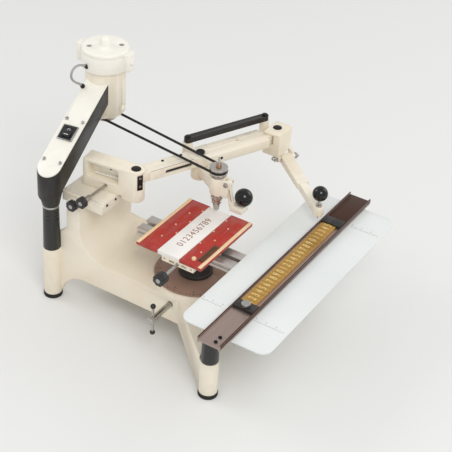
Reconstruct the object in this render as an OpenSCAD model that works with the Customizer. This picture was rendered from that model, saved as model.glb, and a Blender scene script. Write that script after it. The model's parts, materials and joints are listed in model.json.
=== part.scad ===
// Pantograph engraving machine: a belt-driven spindle and a tracer hang on one proportional arm
// over a turntable vice and a copy table. Millimetres. +X runs along the copy rail, +Y towards the
// tower, +Z up. The origin is the centre of the underside of the column's foot.

/* [Base casting] */
// Width of the deck, left to right
deck_w = 178; // [170:1:190]
// Length of the deck in front of the tower
deck_l = 304; // [296:1:312]
// Height of the deck's top
deck_top = 114; // [110:1:118]
// Depth of the deck's skirt
skirt_h = 56; // [48:1:62]
// Wall of the casting
wall = 8; // [6:0.5:9]
// Distance of the deck's left face from the column's axis
deck_left = 6; // [4:1:9]
// Thickness of the tower
tower_t = 30; // [28:1:32]
// Height of the tower above the deck
tower_h = 118; // [116:0.5:120]
// Distance of the tower's back face from the column's axis
tower_back = 32; // [30:1:34]
// Radius of the hollow between tower and deck
fillet_r = 58; // [40:1:62]
// Diameter of the four posts
post_d = 35; // [33:0.5:37]
// Height of the column's post
post_h = 115; // [112:1:118]
// Height of the front posts
leg_h = 80; // [74:1:86]
// How far the front posts stand outside the deck
leg_out = 72; // [66:1:76]
// How far the front posts stand before the deck
leg_fwd = 42; // [36:1:46]
// Diameter of the rubber feet
foot_d = 37; // [36:0.5:40]
// Height of the rubber feet
foot_h = 8; // [6:0.5:10]

/* [Column and sleeves] */
// Length of the column's black sleeve
sleeve_l = 94; // [90:1:97]
// Diameter of the sleeve at its foot
sleeve_d = 34; // [32:0.5:35]
// Diameter of the sleeve at its top
sleeve_top_d = 31; // [29:0.5:32]
// Height of the bright ring over the sleeve
ring_h = 4; // [3:0.5:6]
// Diameter of the spigot that carries the motor arm
spigot_d = 22; // [18:0.5:24]
// Length of the spigot
spigot_l = 66; // [50:1:68]
// Length of the front sleeves
front_sleeve_l = 103; // [100:0.5:104]
// Diameter of the front sleeves at the top
front_sleeve_d = 28; // [26:0.5:30]

/* [Motor arm] */
// Slope of the arm
arm_rise = 26; // [25:0.5:27]
// Turn of the arm from the rail's direction
arm_turn = 8.4; // [7.5:0.1:9]
// Level distance from the column to the motor
arm_reach = 215; // [210:1:220]
// Height of the arm's upper face over the column
arm_top = 300; // [298:0.5:302]
// Width of the arm
arm_w = 48; // [44:1:50]
// Depth of the casting over the column
arm_depth = 57; // [52:1:59]
// Depth of the casting at the motor
arm_end_depth = 43; // [36:1:46]
// Thickness of the cover plate
cover_t = 3; // [2:0.5:4]
// Length of the switch along the arm
switch_l = 31; // [28:1:34]
// Width of the switch
switch_w = 28; // [26:1:32]
// Place of the switch along the arm
switch_at = 75; // [70:1:85]

/* [Motor] */
// Diameter of the lower housing
motor_d = 80; // [76:1:84]
// Height of the lower housing's underside
motor_low = 307.5; // [307:0.5:310]
// Diameter of the motor's cap
cap_d = 93; // [90:1:98]
// Height of the cap's underside
cap_low = 410; // [408:1:414]
// Height of the cap
cap_h = 41; // [38:1:44]
// Diameter of the boss in the middle of the cap
boss_d = 18; // [16:0.5:22]
// Width of the brush lugs
lug_w = 26; // [22:0.5:28]
// Diameter of the motor pulley
motor_pulley_d = 43; // [40:0.5:45]

/* [Belt] */
// Thickness of the round belt
belt_t = 5; // [4:0.25:5.5]
// Height of the belt
belt_z = 302; // [301.8:0.1:302.2]

/* [Saddle and bracket] */
// Length of the saddle along the rail's direction
saddle_w = 90; // [84:1:94]
// Depth of the saddle, front to back
saddle_l = 93; // [90:1:94]
// Thickness of the saddle over the tower
saddle_t = 8; // [6:0.5:9]
// Width of the bracket
bracket_w = 34; // [32:1:36]
// Length of the bracket behind the main pivot
bracket_l = 105; // [100:0.5:106]
// Lean of the bracket from the front-to-back line
bracket_lean = 7; // [6:0.25:8]
// Top of the bracket
bracket_top = 298; // [297.6:0.1:298.4]
// Length of the window in the bracket's side
window_l = 66; // [50:1:68]
// Height of the window
window_h = 31; // [24:1:32]
// Diameter of the clamping knobs
knob_d = 22; // [18:0.5:23]

/* [Pantograph arms] */
// Distance of the outer pivot from the main pivot
arm_l = 320.9; // [318:0.1:323]
// Proportion of the copy: inner distance over outer distance
ratio = 0.44; // [0.43:0.005:0.45]
// Height of the arms
bar_h = 19; // [17:0.25:19.5]
// Width of the inner arm
inner_w = 32; // [28:0.5:33]
// Width of the outer arm
outer_w = 46; // [42:0.5:47]
// Diameter of the pivot pins
pivot_d = 12; // [10:0.5:13]
// Width of the link rod
rod_w = 15; // [12:0.5:16]
// Thickness of the link rod
rod_t = 10.5; // [8:0.25:11]

/* [Spindle and tracer] */
// Tracer's offset from the outer pivot along the rail
tracer_x = -98.8; // [-101:0.1:-97]
// Tracer's offset from the outer pivot, front to back
tracer_y = -155.6; // [-158:0.1:-154]
// Diameter of the quill
quill_d = 22; // [21:0.5:24]
// Diameter of the spindle shaft
shaft_d = 6; // [5:0.25:7]
// Diameter of the spindle pulley
pulley_d = 35; // [33:0.5:36]
// Diameter of the depth collar
collar_d = 24; // [20:0.5:26]
// Diameter of the lift lever's ball
lever_ball_d = 35; // [32:0.5:36]
// Diameter of the tracer's ball
tracer_ball_d = 30; // [27:0.5:32]

/* [Turntable and vice] */
// Diameter of the graduated disc
disc_d = 156; // [148:1:160]
// Thickness of the graduated disc
disc_t = 4; // [3:0.25:4.5]
// Diameter of the raised rim round the disc
rim_d = 172; // [166:1:176]
// Diameter of the turntable's foot
hub_d = 66; // [58:1:72]
// Height of the turntable
hub_h = 47; // [45:0.5:47.5]
// Length of the slotted rail
rail_l = 240; // [230:1:244]
// Width of the slotted rail
rail_w = 50; // [44:1:54]
// Height of the slotted rail
rail_h = 16; // [14:0.25:16.5]
// Length of the vice along its jaws
vice_l = 176; // [170:1:178]
// Width of one jaw
jaw_w = 47; // [43:0.5:49]
// Thickness of the jaws
jaw_t = 6.5; // [5:0.25:6.8]
// Width of the work plate between the jaws
work_w = 48; // [42:1:52]
// Diameter of the vice screw's knob
vice_knob_d = 24; // [22:0.5:24.5]

/* [Copy table] */
// Length of the copy plate
plate_l = 492; // [480:1:500]
// Width of the copy plate
plate_w = 176; // [170:1:180]
// Thickness of the copy plate
plate_t = 3; // [2.5:0.1:3.2]
// Corner radius of the copy plate
plate_r = 20; // [12:1:24]
// Length of the copy rail
copy_rail_l = 551; // [540:1:560]
// Width of the copy rail
copy_rail_w = 46; // [44:0.5:48]
// Height of the copy rail's lips over the guide
copy_rail_h = 8; // [7:0.1:8.3]
// Length of the type strip
strip_l = 302; // [290:1:306]
// Width of the type strip
strip_w = 30; // [27:0.5:31]

/* [Side clamp] */
// Diameter of the clamp's shaft
side_d = 11; // [9:0.5:12]
// Reach of the clamp outside the deck
side_l = 62; // [56:1:66]
// Length of the tommy bar
tommy_l = 60; // [54:1:64]

/* [Hidden] */
$fn = 64;

// Clearances
run = 0.05;    // radial, a shaft in its bore
gap = 0.3;     // between pieces that move past each other
seat = 0.4;    // a pocket round what sits in it
eps = 1;       // how far a cutter runs past a face

// Colours
cream = "#e9e0cd";
black = "#1b1b1d";
steel = "#b9bbbd";
alu = "#c9c2be";
red = "#b3261e";
white = "#f1f0ec";
brass = "#c8a14b";
copper = "#a9623c";
rubber = "#141414";

// Base
deck_mid = deck_left + deck_w / 2;
tower_front = -tower_back - tower_t;
deck_front = tower_front - deck_l;
skirt_low = deck_top - skirt_h;
tower_top = deck_top + tower_h;
tower_end = deck_left + deck_w;
front_post = [deck_left - leg_out, deck_front - leg_fwd];
back_post = [tower_end - 16, -tower_back + 7];
function mirrored(p) = [2 * deck_mid - p[0], p[1]];
feet = [[0, 0], back_post, front_post, mirrored(front_post)];

// Column and motor arm
sleeve_top = post_h + sleeve_l;
ring_top = sleeve_top + ring_h;
socket_low = ring_top + gap;
arm_slope = tan(arm_rise);
cover_dz = cover_t / cos(arm_rise);
motor_at = [arm_reach * cos(arm_turn), arm_reach * sin(arm_turn)];
cap_top = cap_low + cap_h;
rocker_r = 11;
lug_out = 12;
brush_d = 14;
brush_z = cap_low + cap_h / 2;
motor_shaft_d = 8;

// Saddle on the tower, its key, the two clamping knobs and the bracket's nose
saddle_x0 = deck_left + 14;
saddle_y0 = tower_front - 43;
saddle_drop = 14;
saddle_top = tower_top + saddle_t;
saddle_knob_z = tower_top + 4;
key_w = 14;
key_l = 40;
key_h = 12;
stud_d = 6;
head_knob_y = tower_front - 18;
head_knob_z = saddle_top + 12;
head_lift = 4;
head_drop_l = 22;
plate_turn = 35;

// Main pivot, arms and spindle; the spindle lies on the line from the main pivot to the tracer
main_at = [88, -133];
bar_turn = -24.5;
function polar(r, a) = [r * cos(a), r * sin(a)];
inner_at = main_at + polar(ratio * arm_l, bar_turn);
outer_at = main_at + polar(arm_l, bar_turn);
tracer_off = [tracer_x, tracer_y];
tracer_at = outer_at + tracer_off;
spindle_at = inner_at + ratio * tracer_off;
rod_off = [10, 36];
bar_low = 273;
bar_top = bar_low + bar_h;
cap_disc_h = 3.5;
rod_z = bar_top + 12;
eye_d = 26;
eye_l = 19.5;
rod_low = rod_z - rod_t / 2;
rod_high = rod_z + rod_t / 2;
rod_pin_d = 7;
rod_boss_d = 20;
hub_pad_d = 34;
neck_w = 26;
pivot_cap_d = 18;
swing_back = 5.5;
swing_fore = 21;
carrier_swing = 9;

// Spindle
holder_low = 252;
holder_h = 36;
quill_top = 290;
quill_low = holder_low - 0.5;
collar_low = 230;
nose_low = 214;
tip_z = 211;
pulley_low = 295;
pulley_h = 14;
lever_at = [0, -23];
lever_z = 281;
lever_t = 7;
lever_pin_d = 5;
lever_fall = 51;
lever_run = 13;
lever_foot_h = 11;
lever_ball_at = [16, -26];

// Tracer
hinge_z = 238;
hinge_off = [0.5, -23];
tracer_turn = atan2(tracer_y - hinge_off[1], tracer_x - hinge_off[0]);
tracer_run = norm(tracer_off - hinge_off);
stylus_tip = 199.6;
tracer_head_z = 220;
barrel_l = 24;
barrel_d = 16;
lug_t = 6;
hinge_d = 7;
stylus_d = 6;

// Turntable and vice, whose body clears the copy plate
plate_low = leg_h + front_sleeve_l;
plate_top = plate_low + plate_t;
turn_at = [deck_mid + 1, tower_front - 207];
disc_top = deck_top + disc_t;
hub_top = disc_top + gap + hub_h;
rail_top = hub_top + rail_h;
hub_pivot_d = 24;
foot_lip = 7;
rim_h = 1.8;
bar_xs = [-52, 52];
bar_w = 16;
bar_t = 2.5;
screw_d = 6.5;
channel_w = 12;
lock_pin_d = 4.5;
body_low = plate_top + 0.5;
body_h = 10.5;
body_top = body_low + body_h;
jaw_low = body_top + gap;
jaw_top = jaw_low + jaw_t;
work_y = turn_at[1] + 6;
body_y0 = work_y - 55;
body_y1 = work_y + 14;
vice_x0 = turn_at[0] - vice_l / 2;
screw_y = (body_y0 + body_y1) / 2;
screw_z = body_low + 4.5;
lock_d = 9.5;
lock_l = 44;
lock_y = body_y0 - 6;
lock_z = body_low + 5.5;
lock_x0 = turn_at[0] - 8;

// Copy table
plate_x0 = front_post[0] - 43;
plate_back = front_post[1] + 42;
guide_h = 4;
guide_w = 38;
guide_l = 482;
rail_y = plate_back - 85;
rail_mid = plate_x0 + plate_l / 2 - 8;
copy_low = plate_top + guide_h + gap;
copy_top = copy_low + copy_rail_h;
web_t = 3.2;
strip_t = 2.5;
thumb_d = 5;
clamp_l = 22;
clamp_out = clamp_l / 2 - 2;
strip_low = copy_low + web_t;
strip_y = rail_y + 3;
strip_mid = rail_mid + 4;
thumb_x = strip_mid - strip_l / 2 - clamp_out - 1;

// Side clamp
side_y = turn_at[1] - 3;
side_z = skirt_low + 38;

// The motor lead's route, from the cap down to the cover plate, measured from the cap's underside
lead_r = 2.3;
lead_route = [[-40.7, 10.6, 7], [-50.7, 11.6, 14], [-62.7, 12.1, 20], [-74.7, 12.6, 22],
  [-85.7, 12.6, 18], [-90.2, 12.6, 9], [-86.7, 12.6, -1], [-76.7, 12.6, -11],
  [-64.7, 12.6, -19.5], [-56.7, 12.6, -27], [-52.9, 12.4, -31]];
lead_pts = [for (p = lead_route) [motor_at[0] + p[0], motor_at[1] + p[1], cap_low + p[2]]];

// ---- Shared shapes

module at(p, z = 0) { translate([p[0], p[1], z]) children(); }

// A block centred on x and y
module block(x, y, z) { translate([-x / 2, -y / 2, 0]) cube([x, y, z]); }

// A ring with a round bore
module tube(od, id, h) {
  difference() {
    cylinder(d = od, h = h);
    translate([0, 0, -eps]) cylinder(d = id, h = h + 2 * eps);
  }
}

// A rectangle with round corners, centred
module round_rect(x, y, r) {
  union() {
    square([x - 2 * r, y], center = true);
    square([x, y - 2 * r], center = true);
    for (i = [-1, 1], j = [-1, 1]) translate([i * (x / 2 - r), j * (y / 2 - r)]) circle(r = r);
  }
}

// A slot with round ends, centred
module slot(l, w) {
  union() {
    square([l - w, w], center = true);
    for (i = [-1, 1]) translate([i * (l - w) / 2, 0]) circle(d = w);
  }
}

// A pin with a cap on top
module capped_pin(d, low, high, cap_d, cap_low, cap_t) {
  translate([0, 0, low]) cylinder(d = d, h = high - low);
  translate([0, 0, cap_low]) cylinder(d = cap_d, h = cap_t);
}

// What an arm sweeps in a fork: a round end and the arm itself at each step of its swing
module swept(eye_d, width, length, from, to, h) {
  linear_extrude(h) union() {
    circle(d = eye_d);
    for (a = [from : (to - from) / 4 : to])
      rotate([0, 0, a]) translate([0, -width / 2]) square([length, width]);
  }
}

// A pulley with a round-bottomed groove, its foot at z = 0 and the groove at the belt's height
module pulley(d, h, groove_z, bore) {
  difference() {
    cylinder(d = d, h = h);
    translate([0, 0, groove_z]) rotate_extrude() translate([d / 2 - 2, 0]) circle(d = belt_t + 2 * gap);
    translate([0, 0, groove_z - belt_t / 2 - gap]) tube(d + 4, d - 4, belt_t + 2 * gap);
    translate([0, 0, -eps]) cylinder(d = bore, h = h + 2 * eps);
  }
}

// A knob with finger hollows round its rim, its axis along +X
module grip_knob(d, l) {
  rotate([0, 90, 0]) difference() {
    cylinder(d = d, h = l);
    for (a = [0 : 45 : 315]) rotate([0, 0, a]) translate([d / 2 + d / 12, 0, -eps])
      cylinder(d = d / 4, h = l + 2 * eps);
  }
}

// A tube swept along points, one polyhedron
function unit(v) = v / norm(v);
function tangent(p, i) = let (n = len(p) - 1)
  i == 0 ? unit(p[1] - p[0]) : i == n ? unit(p[n] - p[n - 1]) : unit(p[i + 1] - p[i - 1]);
module sweep(p, r, sides) {
  side = [for (i = [0 : len(p) - 1]) unit(cross(tangent(p, i), [0.1, 1, 0]))];
  rings = [for (i = [0 : len(p) - 1], k = [0 : sides - 1]) let (a = 360 * k / sides,
    t = tangent(p, i)) p[i] + r * (cos(a) * side[i] + sin(a) * cross(t, side[i]))];
  faces = concat([[for (k = [0 : sides - 1]) k]],
    [for (i = [0 : len(p) - 2], k = [0 : sides - 1]) let (a = i * sides + k,
      b = i * sides + (k + 1) % sides) each [[a, a + sides, b], [b, a + sides, b + sides]]],
    [[for (k = [sides - 1 : -1 : 0]) (len(p) - 1) * sides + k]]);
  polyhedron(rings, faces);
}
// Points between the route's own, on a smooth curve through them
function mid(p, i, t) = let (n = len(p) - 1, a = p[max(i - 1, 0)], b = p[i], c = p[i + 1],
  d = p[min(i + 2, n)]) 0.5 * (2 * b + (c - a) * t + (2 * a - 5 * b + 4 * c - d) * t * t
  + (3 * b - a - 3 * c + d) * t * t * t);
function smooth(p, steps) = concat([for (i = [0 : len(p) - 2], k = [0 : steps - 1])
  mid(p, i, k / steps)], [p[len(p) - 1]]);

// Places a piece in the arm's own frame: along the slope, across it, and up from the cover's face
module on_arm(u, v, w) {
  rotate([0, 0, arm_turn]) translate([0, 0, arm_top]) rotate([0, -arm_rise, 0])
    translate([u, v, w]) children();
}

// Places a piece in the bracket's frame: back along it from the main pivot, and left across it
module on_bracket() { at(main_at) rotate([0, 0, 90 + bracket_lean]) children(); }

// ---- Base

module tower_fillet() {
  straight = 0.62 * deck_w;
  taper = 9;
  difference() {
    translate([deck_left, tower_front - fillet_r, deck_top])
      cube([deck_w - tower_t / 2, fillet_r, fillet_r]);
    translate([deck_left - eps, tower_front - fillet_r, deck_top + fillet_r]) rotate([0, 90, 0])
      cylinder(r = fillet_r, h = deck_w + 2 * eps, $fn = 96);
    translate([deck_left + straight, tower_front - fillet_r, deck_top + fillet_r])
      rotate([0, 90 + taper, taper]) cylinder(r = fillet_r, h = deck_w, $fn = 96);
  }
}

// Plan of the tower, with a round right end
module tower_plan() {
  union() {
    translate([deck_left, tower_front]) square([deck_w - tower_t / 2, tower_t]);
    translate([tower_end - tower_t / 2, tower_front + tower_t / 2]) circle(d = tower_t);
  }
}

// A flared leg from the deck's corner out to its front post
module front_leg() {
  hull() {
    translate([deck_left, deck_front, skirt_low]) cube([wall * 3, deck_l / 4, skirt_h]);
    at(front_post, foot_h) cylinder(d = post_d - 1, h = leg_h - foot_h, $fn = 32);
  }
  at(front_post, foot_h) cylinder(d = post_d, h = leg_h - foot_h);
}

// The arched cheek between the column's post and the skirt
module cheek() {
  arch = 60;
  difference() {
    translate([deck_left, tower_front - wall, foot_h + wall])
      cube([wall * 1.5, -tower_front + wall, post_h - foot_h - wall - eps]);
    translate([deck_left - eps, tower_front - wall - 5, skirt_low - arch]) rotate([0, 90, 0])
      cylinder(r = arch, h = wall * 1.5 + 2 * eps);
  }
}

// The web from the tower's end to the sleeve
module column_web() {
  foot = skirt_low + wall;
  translate([deck_left, 0, 0]) rotate([90, 0, 90]) linear_extrude(wall * 2)
    polygon([[-tower_back - eps, foot], [-tower_back - eps, deck_top + 56],
      [-sleeve_d / 2, deck_top + 40], [-wall / 2, deck_top + 30], [-wall / 2, foot]]);
}

module base_casting() color(cream) difference() {
  union() {
    difference() {
      translate([deck_left, deck_front, skirt_low]) cube([deck_w, deck_l + tower_t, skirt_h]);
      translate([deck_left + wall, deck_front + wall, skirt_low - eps])
        cube([deck_w - 2 * wall, deck_l - 2 * wall, skirt_h - wall + eps]);
    }
    translate([0, 0, deck_top - eps]) linear_extrude(tower_h + eps) tower_plan();
    tower_fillet();
    cheek();
    // raised rim round the graduated disc
    at(turn_at, deck_top - eps) tube(rim_d, disc_d + 2 * seat, eps + rim_h);
    difference() {
      column_web();
      translate([0, 0, post_h]) cylinder(d = sleeve_d + seat, h = sleeve_l);
    }
    translate([0, 0, foot_h]) cylinder(d = post_d, h = post_h - foot_h);
    at(back_post, foot_h) cylinder(d = post_d, h = post_h - foot_h);
    front_leg();
    translate([2 * deck_mid, 0, 0]) mirror([1, 0, 0]) front_leg();
  }
  // seats of the front sleeves
  for (p = [front_post, mirrored(front_post)]) at(p, leg_h) cylinder(d = post_d + 1, h = deck_top);
  // bore of the turntable's pivot
  at(turn_at, skirt_low) cylinder(d = hub_pivot_d, h = skirt_h + eps);
  // bore of the side clamp
  translate([deck_left - eps, side_y, side_z]) rotate([0, 90, 0])
    cylinder(d = side_d + 2 * run, h = wall + 2 * eps);
}

module foot_pads() color(rubber)
  for (p = feet) at(p) cylinder(d = foot_d, h = foot_h);

module column_sleeve() color(black) translate([0, 0, post_h]) difference() {
  cylinder(d1 = sleeve_d, d2 = sleeve_top_d, h = sleeve_l);
  // grip lines
  for (k = [1 : 3]) translate([0, 0, sleeve_l - 8 * k]) tube(sleeve_d + 4, sleeve_top_d - 1, 1.2);
}

module column_spigot() color(steel) {
  translate([0, 0, sleeve_top]) cylinder(d = sleeve_top_d + 0.5, h = ring_h);
  translate([0, 0, ring_top - eps]) cylinder(d = spigot_d, h = spigot_l + eps);
}

module front_sleeves() color(black)
  for (p = [front_post, mirrored(front_post)])
    at(p, leg_h) cylinder(d1 = post_d - 2, d2 = front_sleeve_d, h = front_sleeve_l);

// ---- Copy table

module copy_plate() color(white)
  translate([plate_x0 + plate_l / 2, plate_back - plate_w / 2, plate_low])
    linear_extrude(plate_t) round_rect(plate_l, plate_w, plate_r);

module copy_guide() color(black)
  translate([rail_mid, rail_y, plate_top]) block(guide_l, guide_w, guide_h);

// An open channel whose skirts reach down over the guide
module copy_rail() color(alu) {
  lip = 2.4;
  skirt = guide_h - 1;
  translate([rail_mid, rail_y, copy_low]) difference() {
    translate([0, 0, -skirt]) block(copy_rail_l, copy_rail_w, copy_rail_h + skirt);
    translate([0, 0, web_t]) block(copy_rail_l + 2 * eps, copy_rail_w - 2 * lip, copy_rail_h);
    translate([0, 0, -skirt - eps]) block(copy_rail_l + 2 * eps, guide_w + 2 * gap, skirt + eps);
  }
}

module type_strip() color(brass) translate([strip_mid, strip_y, strip_low])
  block(strip_l, strip_w, strip_t);

// A block on the rail that laps over one end of the type strip
module strip_clamp(side) {
  translate([strip_mid + side * (strip_l / 2 + clamp_out), rail_y, strip_low]) difference() {
    block(clamp_l, copy_rail_w - 6, copy_top - strip_low + 0.5);
    translate([-side * clamp_l / 2, strip_y - rail_y, -eps]) block(6, strip_w + 1, strip_t + eps + gap);
  }
}

module clamp_left() color(black) difference() {
  strip_clamp(-1);
  translate([thumb_x, rail_y, strip_low + 1]) cylinder(d = thumb_d + 2 * run, h = 20);
}

module clamp_right() color(black) strip_clamp(1);

module clamp_thumb() color(steel)
  translate([thumb_x, rail_y, strip_low + 1 + run]) {
    cylinder(d = thumb_d, h = 8);
    translate([0, 0, copy_top - strip_low]) cylinder(d = 17, h = 6);
  }

// ---- Saddle and bracket

module saddle() color(cream) {
  difference() {
    translate([saddle_x0, saddle_y0, tower_top - saddle_drop])
      cube([saddle_w, saddle_l, saddle_t + saddle_drop]);
    translate([saddle_x0 - eps, tower_front, tower_top - saddle_drop - eps])
      cube([saddle_w + 2 * eps, tower_t, saddle_drop + eps]);
    // rebate along the side that shows
    translate([saddle_x0 - eps, saddle_y0 - eps, saddle_top - 3])
      cube([5 + eps, saddle_l + 2 * eps, 3 + eps]);
    // bore of the saddle's knob
    translate([saddle_x0 - eps, tower_front + 5, saddle_knob_z]) rotate([0, 90, 0])
      cylinder(d = stud_d + 2 * run, h = 14);
  }
  // key that guides the bracket
  on_bracket() translate([bracket_l - 45, 0, saddle_top - eps]) block(key_l, key_w, key_h + eps);
}

// The clamping knob of the saddle, with its stud
module saddle_knob() color(black) translate([0, tower_front + 5, saddle_knob_z]) {
  translate([-13, 0, 0]) grip_knob(knob_d, 10);
  translate([-4, 0, 0]) rotate([0, 90, 0]) cylinder(d = stud_d, h = saddle_x0 + 14);
}

function bracket_side_x(y) = main_at[0] - (y - main_at[1]) * tan(bracket_lean) - bracket_w / 2 / cos(bracket_lean);

module head_knob() color(black) translate([0, head_knob_y, head_knob_z]) {
  translate([-13, 0, 0]) grip_knob(knob_d, 10);
  translate([-4, 0, 0]) rotate([0, 90, 0]) cylinder(d = 11, h = 20);
  translate([-4, 0, 0]) rotate([0, 90, 0]) cylinder(d = stud_d, h = bracket_side_x(head_knob_y) + 9);
}

// The casting that carries the main pivot in a fork
module bracket() color(cream) difference() {
  on_bracket() difference() {
    union() {
      translate([0, -bracket_w / 2, saddle_top + run])
        cube([bracket_l, bracket_w, bracket_top - saddle_top - run]);
      translate([0, 0, tower_top]) cylinder(d = bracket_w, h = bracket_top - tower_top);
      translate([0, -bracket_w / 2, tower_top]) cube([head_drop_l, bracket_w, saddle_t + eps]);
    }
    // fork for the inner arm
    translate([0, 0, bar_low - gap]) rotate([0, 0, bar_turn - 90 - bracket_lean])
      swept(eye_d + 1.2, eye_d + 1, bracket_w + 10, -swing_fore, swing_back, bar_h + 2 * gap);
    // window in the left side
    translate([29 + window_l / 2, bracket_w / 2 - 20, bracket_top - 6 - window_h / 2]) rotate([-90, 0, 0])
      linear_extrude(20 + eps) round_rect(window_l, window_h, 5);
    // key way
    translate([bracket_l - 45, 0, saddle_top - eps])
      block(key_l + 2 * gap, key_w + 2 * gap, key_h + head_lift + gap + eps);
    // bore of the main pin, and the seat of its cap
    translate([0, 0, tower_top + wall]) cylinder(d = pivot_d, h = bracket_top - tower_top);
    translate([0, 0, bracket_top - 2]) cylinder(d = pivot_cap_d, h = 2 + eps);
    // seat of the slotted plate on the nose
    rotate([0, 0, 180 - plate_turn]) translate([bracket_w / 2 - 1, -6, tower_top + 28]) cube([10, 12, 32]);
  }
  // bore of the head's knob
  translate([0, head_knob_y, head_knob_z]) rotate([0, 90, 0])
    cylinder(d = stud_d + 2 * run, h = bracket_side_x(head_knob_y) + 10);
}

module slot_plate() color(black) on_bracket() rotate([0, 0, 180 - plate_turn])
  translate([bracket_w / 2 - 1, -5.6, tower_top + 28.4]) cube([1.4, 11.2, 31.2]);

module main_pin() color(black) at(main_at)
  capped_pin(pivot_d, tower_top + wall, bracket_top - 2, pivot_cap_d, bracket_top - 2, 3);

// ---- Pantograph

// The inner arm: an eye in the fork, side slots, and a seat for the outer arm's round end
module inner_arm() color(cream) at(main_at, bar_low) rotate([0, 0, bar_turn]) difference() {
  union() {
    cylinder(d = eye_d, h = bar_h);
    translate([0, -eye_d / 2, 0]) cube([eye_l + eps, eye_d, bar_h]);
    translate([eye_l, -inner_w / 2, 0]) cube([ratio * arm_l - eye_l, inner_w, bar_h]);
  }
  translate([0, 0, -eps]) cylinder(d = pivot_d + 2 * run, h = bar_h + 2 * eps);
  translate([ratio * arm_l, 0, -eps]) cylinder(d = outer_w + 2 * run, h = bar_h + 2 * eps);
  // long slots in both sides and the scale groove on top
  for (s = [-1, 1]) translate([0.6 * ratio * arm_l, s * inner_w / 2, bar_h / 2]) rotate([90, 0, 0])
    translate([0, 0, -6]) linear_extrude(12) slot(0.42 * ratio * arm_l, bar_h / 2.6);
  translate([0.28 * ratio * arm_l, -0.8, bar_h - 1]) cube([0.5 * ratio * arm_l, 1.6, 1 + eps]);
}

// The outer arm: wide from the inner pivot, narrowed before the tracer's fork
module outer_arm() color(cream) at(inner_at, bar_low) rotate([0, 0, bar_turn]) {
  l = (1 - ratio) * arm_l;
  neck = 33;
  difference() {
    union() {
      cylinder(d = outer_w, h = bar_h);
      translate([0, -outer_w / 2, 0]) cube([l - neck, outer_w, bar_h]);
      translate([0, -neck_w / 2, 0]) cube([l, neck_w, bar_h]);
      translate([l, 0, 0]) cylinder(d = neck_w, h = bar_h);
    }
    translate([0, 0, -eps]) cylinder(d = pivot_d + 2 * run, h = bar_h + 2 * eps);
    translate([l, 0, -eps]) cylinder(d = pivot_d + 2 * run, h = bar_h + 2 * eps);
    // the far half is set down a little, with a fine slot and a hole along the step
    translate([0.14 * l, 0, bar_h - 1]) cube([l, outer_w, 1 + eps]);
    translate([0.1 * l, -0.7, bar_h - 3]) cube([0.4 * l, 1.4, 3 + eps]);
    translate([0.5 * l, 9, bar_h - 6]) cylinder(d = 6, h = 6 + eps);
  }
}

// Arm from a hub under the inner pivot to the spindle's holder, and a boss for the link rod
module spindle_bracket() color(cream) {
  to_spindle = ratio * tracer_off;
  reach = norm(to_spindle);
  turn = atan2(to_spindle[1], to_spindle[0]);
  rod_reach = norm(rod_off);
  rod_turn = atan2(rod_off[1], rod_off[0]);
  difference() {
    union() {
      at(inner_at, hinge_z + 1) cylinder(d = hub_pad_d, h = bar_low - gap - hinge_z - 1);
      at(inner_at, holder_low) rotate([0, 0, turn]) translate([0, -9, 0])
        cube([reach, 18, bar_low - gap - 2 - holder_low]);
      at(inner_at, holder_low) rotate([0, 0, rod_turn]) translate([0, -8, 0])
        cube([rod_reach, 16, bar_low - gap - 2 - holder_low]);
      at(inner_at + rod_off, holder_low) cylinder(d = rod_boss_d, h = rod_low - gap - holder_low);
      at(spindle_at, holder_low) cylinder(d = quill_d + 8, h = holder_h);
      // lug of the lift lever
      at(spindle_at + lever_at, holder_low) translate([0, 6, 0]) block(18, 20, holder_h);
    }
    at(spindle_at, holder_low - eps) cylinder(d = quill_d + 2 * run, h = holder_h + 20);
    // the lever's slot and its pivot
    at(spindle_at + lever_at, holder_low - eps) translate([0, -3, 0])
      block(lever_t + 2 * gap, 21, lever_z + 10 - holder_low);
    at(spindle_at + lever_at, lever_z) translate([-20, 0, 0]) rotate([0, 90, 0])
      cylinder(d = lever_pin_d + 2 * run, h = 40);
    at(inner_at, hinge_z) cylinder(d = pivot_d, h = 60);
    at(inner_at + rod_off, rod_z - 20) cylinder(d = rod_pin_d, h = 30);
  }
}

module rod_pin() { capped_pin(rod_pin_d, rod_z - 20, rod_high + gap + 1, 11, rod_high + gap, 2); }

// The inner pivot's pin with its cap, and the pin of the link rod
module spindle_pin() color(black) {
  at(inner_at) capped_pin(pivot_d, hinge_z + 1, bar_top + gap + 1, 17, bar_top + gap, cap_disc_h);
  at(inner_at + rod_off) rod_pin();
}

// The rod that keeps the tracer's carrier parallel to the spindle's
module link_rod() color(black) at(inner_at + rod_off, rod_z) rotate([0, 0, bar_turn]) {
  l = (1 - ratio) * arm_l;
  difference() {
    translate([l / 2, 0, -rod_t / 2]) linear_extrude(rod_t) slot(l + rod_w, rod_w);
    translate([0, 0, -rod_t]) cylinder(d = rod_pin_d + 2 * run, h = 2 * rod_t);
    translate([l, 0, -rod_t]) cylinder(d = rod_pin_d + 2 * gap, h = 2 * rod_t);
  }
}

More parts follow.
